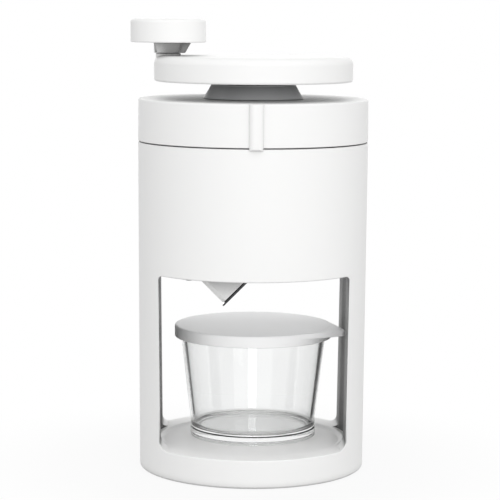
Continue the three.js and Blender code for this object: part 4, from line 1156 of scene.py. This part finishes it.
def make_base_cover():
    low, high, radius = cover_plate_low.z, cover_plate_high.z, cover_plate_high.x
    seat, seat_radius = pad_high.z + seat_gap, pad_high.x + seat_gap
    mesh = spun([
        (0, seat), (seat_radius, seat), (seat_radius, low, 0.4), (radius, low, 0.5),
        (radius, high, 0.3), (0, high),
    ], steps=128)
    return countersunk(mesh, cover_screws, low, low + 0.8, high)


def make_pad():
    low, depth, bottom_half, mouth_half = pad_low.z, 0.7, 0.5, 0.9
    corners = [(0, low)]
    for radius in range(10, 41, 6):
        corners += [(radius - mouth_half, low, 0.3), (radius - bottom_half, low + depth),
                    (radius + bottom_half, low + depth), (radius + mouth_half, low, 0.3)]
    corners += [(pad_high.x, low, 0.5), (pad_high.x, pad_high.z, 0.2), (0, pad_high.z)]
    return spun(corners, steps=128)


finish_piece("underside", make_base_cover(), "body", "inner_plastic", ["base_cover"])
finish_piece("pad", make_pad(), "body", "soft_grip", ["foot_pad"])


# %% [markdown]
# The gripper presses the ice on to the blade and turns it. It is a stiff disc with a rim, six ribs
# and twelve spikes, and it slides on two flats of the shaft, so it turns with the crank while it
# sinks. The disc is spun, and ribs, spikes and the flatted hole come from Boolean steps.

# %% Gripper
gripper_low, gripper_high = box_mm("ice_gripper")
gripper_radius, gripper_base = gripper_high.x, gripper_low.z + 6
collar_radius = 9.5


def make_gripper():
    top, rim = gripper_base + 3, gripper_radius - 2.4
    mesh = spun([
        (0, gripper_base), (gripper_radius, gripper_base, 0.8), (gripper_radius, top + 3.2, 0.6),
        (rim, top + 3.2, 0.6), (rim, top, 0.8), (collar_radius, top, 0.8),
        (collar_radius, gripper_high.z, 0.6), (0, gripper_high.z),
    ], steps=112)
    added = []
    for angle in angles_round(6, 0):
        rib = bar((collar_radius - 1, -1.1, top - over), (gripper_radius - 1.2, 1.1, top + 2.6))
        soften(rib, 0.4, lambda one, two: min(one.z, two.z) > top + 2, segments=2)
        added.append(turned(rib, angle))
    for count, start, share in ((8, pi / 8, 0.8), (4, 0, 0.45)):
        radius = gripper_radius * share
        for angle in angles_round(count, start):
            added.append(peg(radius * cos(angle), radius * sin(angle), gripper_low.z, gripper_base + 1.5,
                             0.5, 2.0, sides=24))
    mesh = combined(mesh, added, "UNION")
    return combined(mesh, [flatted(5.2, 3.8, gripper_low.z, gripper_high.z + over)])


finish_piece("gripper", make_gripper(), "gripper", "inner_plastic", ["ice_gripper"])


# %% [markdown]
# The spring is wound from round wire, with a closed turn at each end and open turns between. A small circle
# is spun about the shaft while it climbs, first slowly, then fast, then slowly.

# %% Spring
spring_low, spring_high = box_mm("gripper_spring")


def make_spring():
    wire, steps, open_turns = 0.68, 36, 5
    radius, low, high = spring_high.x - wire - 0.02, spring_low.z + wire, spring_high.z - wire
    closed_rise = wire * 2.15
    mesh = bmesh.new()
    made = bmesh.ops.create_circle(
        mesh, cap_ends=False, segments=10, radius=wire * MM,
        matrix=Matrix.Translation((radius * MM, 0, low * MM)) @ Matrix.Rotation(pi / 2, 4, "X"))
    section = made["verts"] + mesh.edges[:]
    ends = [mesh.edges[:]]
    for count, rise in (
        (1, closed_rise), (open_turns, (high - low - 2 * closed_rise) / open_turns), (1, closed_rise),
    ):
        grown = bmesh.ops.spin(
            mesh, geom=section, cent=(0, 0, 0), axis=(0, 0, 1), dvec=(0, 0, rise / steps * MM),
            angle=FULL_TURN * count, steps=steps * count, use_merge=False)
        section = grown["geom_last"]
    ends.append([part for part in section if isinstance(part, bmesh.types.BMEdge)])
    for loop in ends:
        bmesh.ops.contextual_create(mesh, geom=loop)
    bmesh.ops.recalc_face_normals(mesh, faces=mesh.faces)
    return mesh


spring = finish_piece("spring", make_spring(), "crank", "steel", ["gripper_spring"], keen=50)
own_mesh(spring)
print("spring has", len(spring.data.vertices), "points")


# %% [markdown]
# The shaft is turned from one bar: a flatted rod for the gripper, a collar for the spring, a plain
# journal for the bush, then flats and a thread for the plate. Each length is its own peg or spun
# form, joined end to end.

# %% Shaft
shaft_low, shaft_high = box_mm("drive_shaft")
clip_low, clip_high = box_mm("shaft_clip")


def make_shaft():
    collar_low, collar_top = inner_low.z - 3.1, inner_low.z - 0.5
    journal, thread, thread_end, groove = 6.0, 4.0, 3.0, 3.8
    core = spun([
        (0, collar_low), (collar_radius, collar_low, 0.4), (collar_radius, collar_top, 0.4),
        (journal, collar_top), (journal, plate_base, 0.2), (thread, plate_base),
        *threaded(thread, hub_top + 0.3, shaft_high.z - 0.6, 1.25),
        (thread_end, shaft_high.z), (0, shaft_high.z),
    ], steps=64)
    clip_from, clip_to, outside = clip_low.z - 0.15, clip_high.z + 0.15, 9.0
    clip_seat = spun([
        (groove, clip_from), (outside, clip_from), (outside, clip_to), (groove, clip_to)], steps=48)
    rod = combined(flatted(5.0, 3.6, shaft_low.z, collar_low + 1), [clip_seat])
    square = flatted(journal, 4.32, plate_base - 0.2, hub_top)
    mesh = combined(core, [rod, square], "UNION")
    soften(mesh, 0.3, lambda one, two: max(one.z, two.z) < shaft_low.z + 0.05, segments=2)
    return mesh


finish_piece("shaft", make_shaft(), "crank", "steel", ["drive_shaft"])


# %% [markdown]
# Fifteen pan head screws hold the shaver together, all driven from below or inside. They are one
# turned form with a domed head, a crossed recess and a ridged shank, and only their lengths
# differ, so one function makes each from the box of the screw that it stands for.

# %% Pan head screws
def make_pan_screw(node):
    low, high = box_mm(node)
    at = middle_of(node)
    seat, head = low.z + 1.6, 2.9
    mesh = spun([
        (0, low.z), (2.0, low.z + 0.12), (head, low.z + 0.75, 0.3), (head, seat), (screw_shank, seat),
        *threaded(screw_shank, seat + 0.6, high.z - 0.4, thread_pitch), (0.5, high.z), (0, high.z),
    ], steps=32, centre=(at.x, at.y))
    return combined(mesh, cross_recess(low.z - over, low.z + 0.9, 1.7, 0.35, (at.x, at.y)))


for rides_on, screws in (("body", cover_screws + holder_screws), ("lid", lid_screws + neck_screws),
                         ("crank", crank_screws + ("knob_screw",))):
    for name in screws:
        finish_piece(name.replace("screw", "fixing"), make_pan_screw(name), rides_on, "screw_steel", [name])


# %% [markdown]
# The last small parts carry and hold the shaft: a bush of low friction plastic, a washer and a nut
# on the thread, and two spring clips. A clip is a spun ring with a mouth cut into it.

# %% Bush, washer, nut and clips
bush_low, bush_high = box_mm("bearing_bush")
washer_low, washer_high = box_mm("shaft_washer")
nut_low, nut_high = box_mm("shaft_nut")
snap_low, snap_high = box_mm("knob_clip")
thread_hole = 4.3


def make_bush():
    low, high, bore, outside, flange = bush_low.z, bush_high.z, 6.2, 8.6, 10.8
    return spun([
        (bore, low, 0.3), (flange, low, 0.3), (flange, low + 1.6, 0.2), (outside, low + 1.6),
        (outside, high, 0.4), (bore, high, 0.3),
    ], steps=80)


def make_washer():
    low, high, outside = washer_low.z, washer_high.z, 9.0
    return spun([
        (thread_hole, low, 0.1), (outside, low, 0.2), (outside, high, 0.3), (thread_hole, high, 0.1),
    ], steps=80)


def make_nut():
    low, high, half = nut_low.z, nut_high.z, 6.5
    corner = half / cos(pi / 6)
    mesh = turned(peg(0, 0, low, high, corner, sides=6), pi / 6 if nut_high.y > nut_high.x else 0)
    dome = spun([
        (0, low), (half + 0.2, low), (corner, low + 0.7), (corner, high - 0.8), (half, high), (0, high),
    ], steps=64)
    mesh = combined(mesh, [dome], "INTERSECT")
    return combined(mesh, [peg(0, 0, low - over, high + over, thread_hole, sides=48)])


def make_clip(inner, outer, low, high, centre=(0.0, 0.0)):
    x, y = centre
    edge, mouth = 0.15, inner * 0.6
    ring = spun([
        (inner, low, edge), (outer, low, edge), (outer, high, edge), (inner, high, edge),
    ], steps=64, centre=centre)
    ring = combined(ring, [bar((x - mouth, y, low - over), (x + mouth, y + outer + over, high + over))])
    eyes = [peg(x + side * (mouth + 1.0), y + outer - 1.1, low - over, high + over, 0.45, sides=16)
            for side in (-1, 1)]
    return combined(ring, eyes)


finish_piece("bush", make_bush(), "lid", "bearing_plastic", ["bearing_bush"])
finish_piece("washer", make_washer(), "crank", "screw_steel", ["shaft_washer"])
finish_piece("nut", make_nut(), "crank", "screw_steel", ["shaft_nut"])
finish_piece("rod_clip", make_clip(4.1, 8.0, clip_low.z, clip_high.z), "crank", "screw_steel", ["shaft_clip"])
finish_piece("spindle_clip", make_clip(3.4, 6.0, snap_low.z, snap_high.z, knob_axis), "crank", "screw_steel",
             ["knob_clip"])


# %% [markdown]
# A finer piece stands for every CAD node. The nodes get the same finishes, so that one which is
# shown by itself matches the rest.

# %% Finish the CAD nodes
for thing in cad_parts.values():
    slot = thing.data.materials[0].name.split(".")[0]
    thing.data.materials.clear()
    thing.data.materials.append(materials_for[slot])
print("nodes with a finish:", len(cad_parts))


# %% [markdown]
# The photograph is a studio shot on pure white. The floor and the world show as white only to
# camera, glossy and transmission rays. The light on the object comes from all round, and from four
# soft panels: a narrow tall one in front that keeps the sides greyer than the middle, a wide one
# to the front right, one above and one behind. The one behind isn't seen through the glass.

# %% Floor
white, floor_grey = (1, 1, 1, 1), (0.65, 0.65, 0.65, 1)
object_edge, open_floor = 0.06, 0.2


def seen_directly(tree, path):
    """One for camera, glossy and transmission rays, and nothing for the rest."""
    seen = calculate(tree, "MAXIMUM", path["Is Camera Ray"], path["Is Glossy Ray"])
    return calculate(tree, "MAXIMUM", seen, path["Is Transmission Ray"])


def mixed_shader(tree, share, first, second):
    made = add_node(tree, "ShaderNodeMixShader", {"Fac": share, 1: first.outputs[0], 2: second.outputs[0]})
    return made.outputs[0]


def make_floor():
    mesh = bmesh.new()
    bmesh.ops.create_grid(mesh, x_segments=1, y_segments=1, size=4.0)
    thing = as_object(mesh, "floor")
    made, tree, _ = new_material("studio_floor")
    tree.nodes.clear()
    plain = add_node(tree, "ShaderNodeBsdfDiffuse", {"Color": floor_grey})
    glow = add_node(tree, "ShaderNodeEmission", {"Color": white, "Strength": 1.0})
    distance = add_node(tree, "ShaderNodeVectorMath", {0: object_place(tree)}, operation="LENGTH")
    white_share = spread(tree, distance.outputs["Value"], object_edge, open_floor, 0.9, 1.0,
                         interpolation_type="SMOOTHSTEP")
    seen = seen_directly(tree, add_node(tree, "ShaderNodeLightPath").outputs)
    share = calculate(tree, "MULTIPLY", seen, white_share)
    add_node(tree, "ShaderNodeOutputMaterial", {"Surface": mixed_shader(tree, share, plain, glow)})
    thing.data.materials.append(made)
    return thing


floor = make_floor()
print("floor is laid,", round(floor.dimensions.x, 1), "metres wide")


# %% World and lights
ambient_level = 0.76


def make_world():
    world = bpy.data.worlds.new("studio")
    bpy.context.scene.world = world
    world.use_nodes = True
    tree = world.node_tree
    tree.nodes.clear()
    surround = add_node(tree, "ShaderNodeBackground", {"Color": white, "Strength": ambient_level})
    backdrop = add_node(tree, "ShaderNodeBackground", {"Color": white, "Strength": 1.0})
    ray = add_node(tree, "ShaderNodeLightPath").outputs
    first_hand = calculate(tree, "LESS_THAN", ray["Diffuse Depth"], 0.5)
    share = calculate(tree, "MULTIPLY", seen_directly(tree, ray), first_hand)
    add_node(tree, "ShaderNodeOutputWorld", {"Surface": mixed_shader(tree, share, surround, backdrop)})


def soft_panel(name, at, size, watts, towards=(0, 0, 0.13)):
    """A rectangular area light aimed at a point, with its width and height in metres."""
    data = bpy.data.lights.new(name, "AREA")
    data.shape, data.size, data.size_y, data.energy = "RECTANGLE", *size, watts
    panel = bpy.data.objects.new(name, data)
    bpy.context.scene.collection.objects.link(panel)
    panel.location = at
    panel.rotation_euler = (Vector(towards) - Vector(at)).to_track_quat("-Z", "Y").to_euler()
    return panel


make_world()
soft_panel("front_panel", (0.0, -1.6, 0.3), (0.45, 1.2), 7.7)
soft_panel("right_front_panel", (0.9, -1.3, 0.6), (1.0, 1.0), 2.5)
soft_panel("upper_panel", (0.0, -0.9, 1.4), (1.0, 1.0), 3.1)
back_panel = soft_panel("back_panel", (0.0, 1.5, 0.45), (1.2, 0.8), 4.0)
back_panel.visible_transmission = False
print("ambient level", ambient_level)
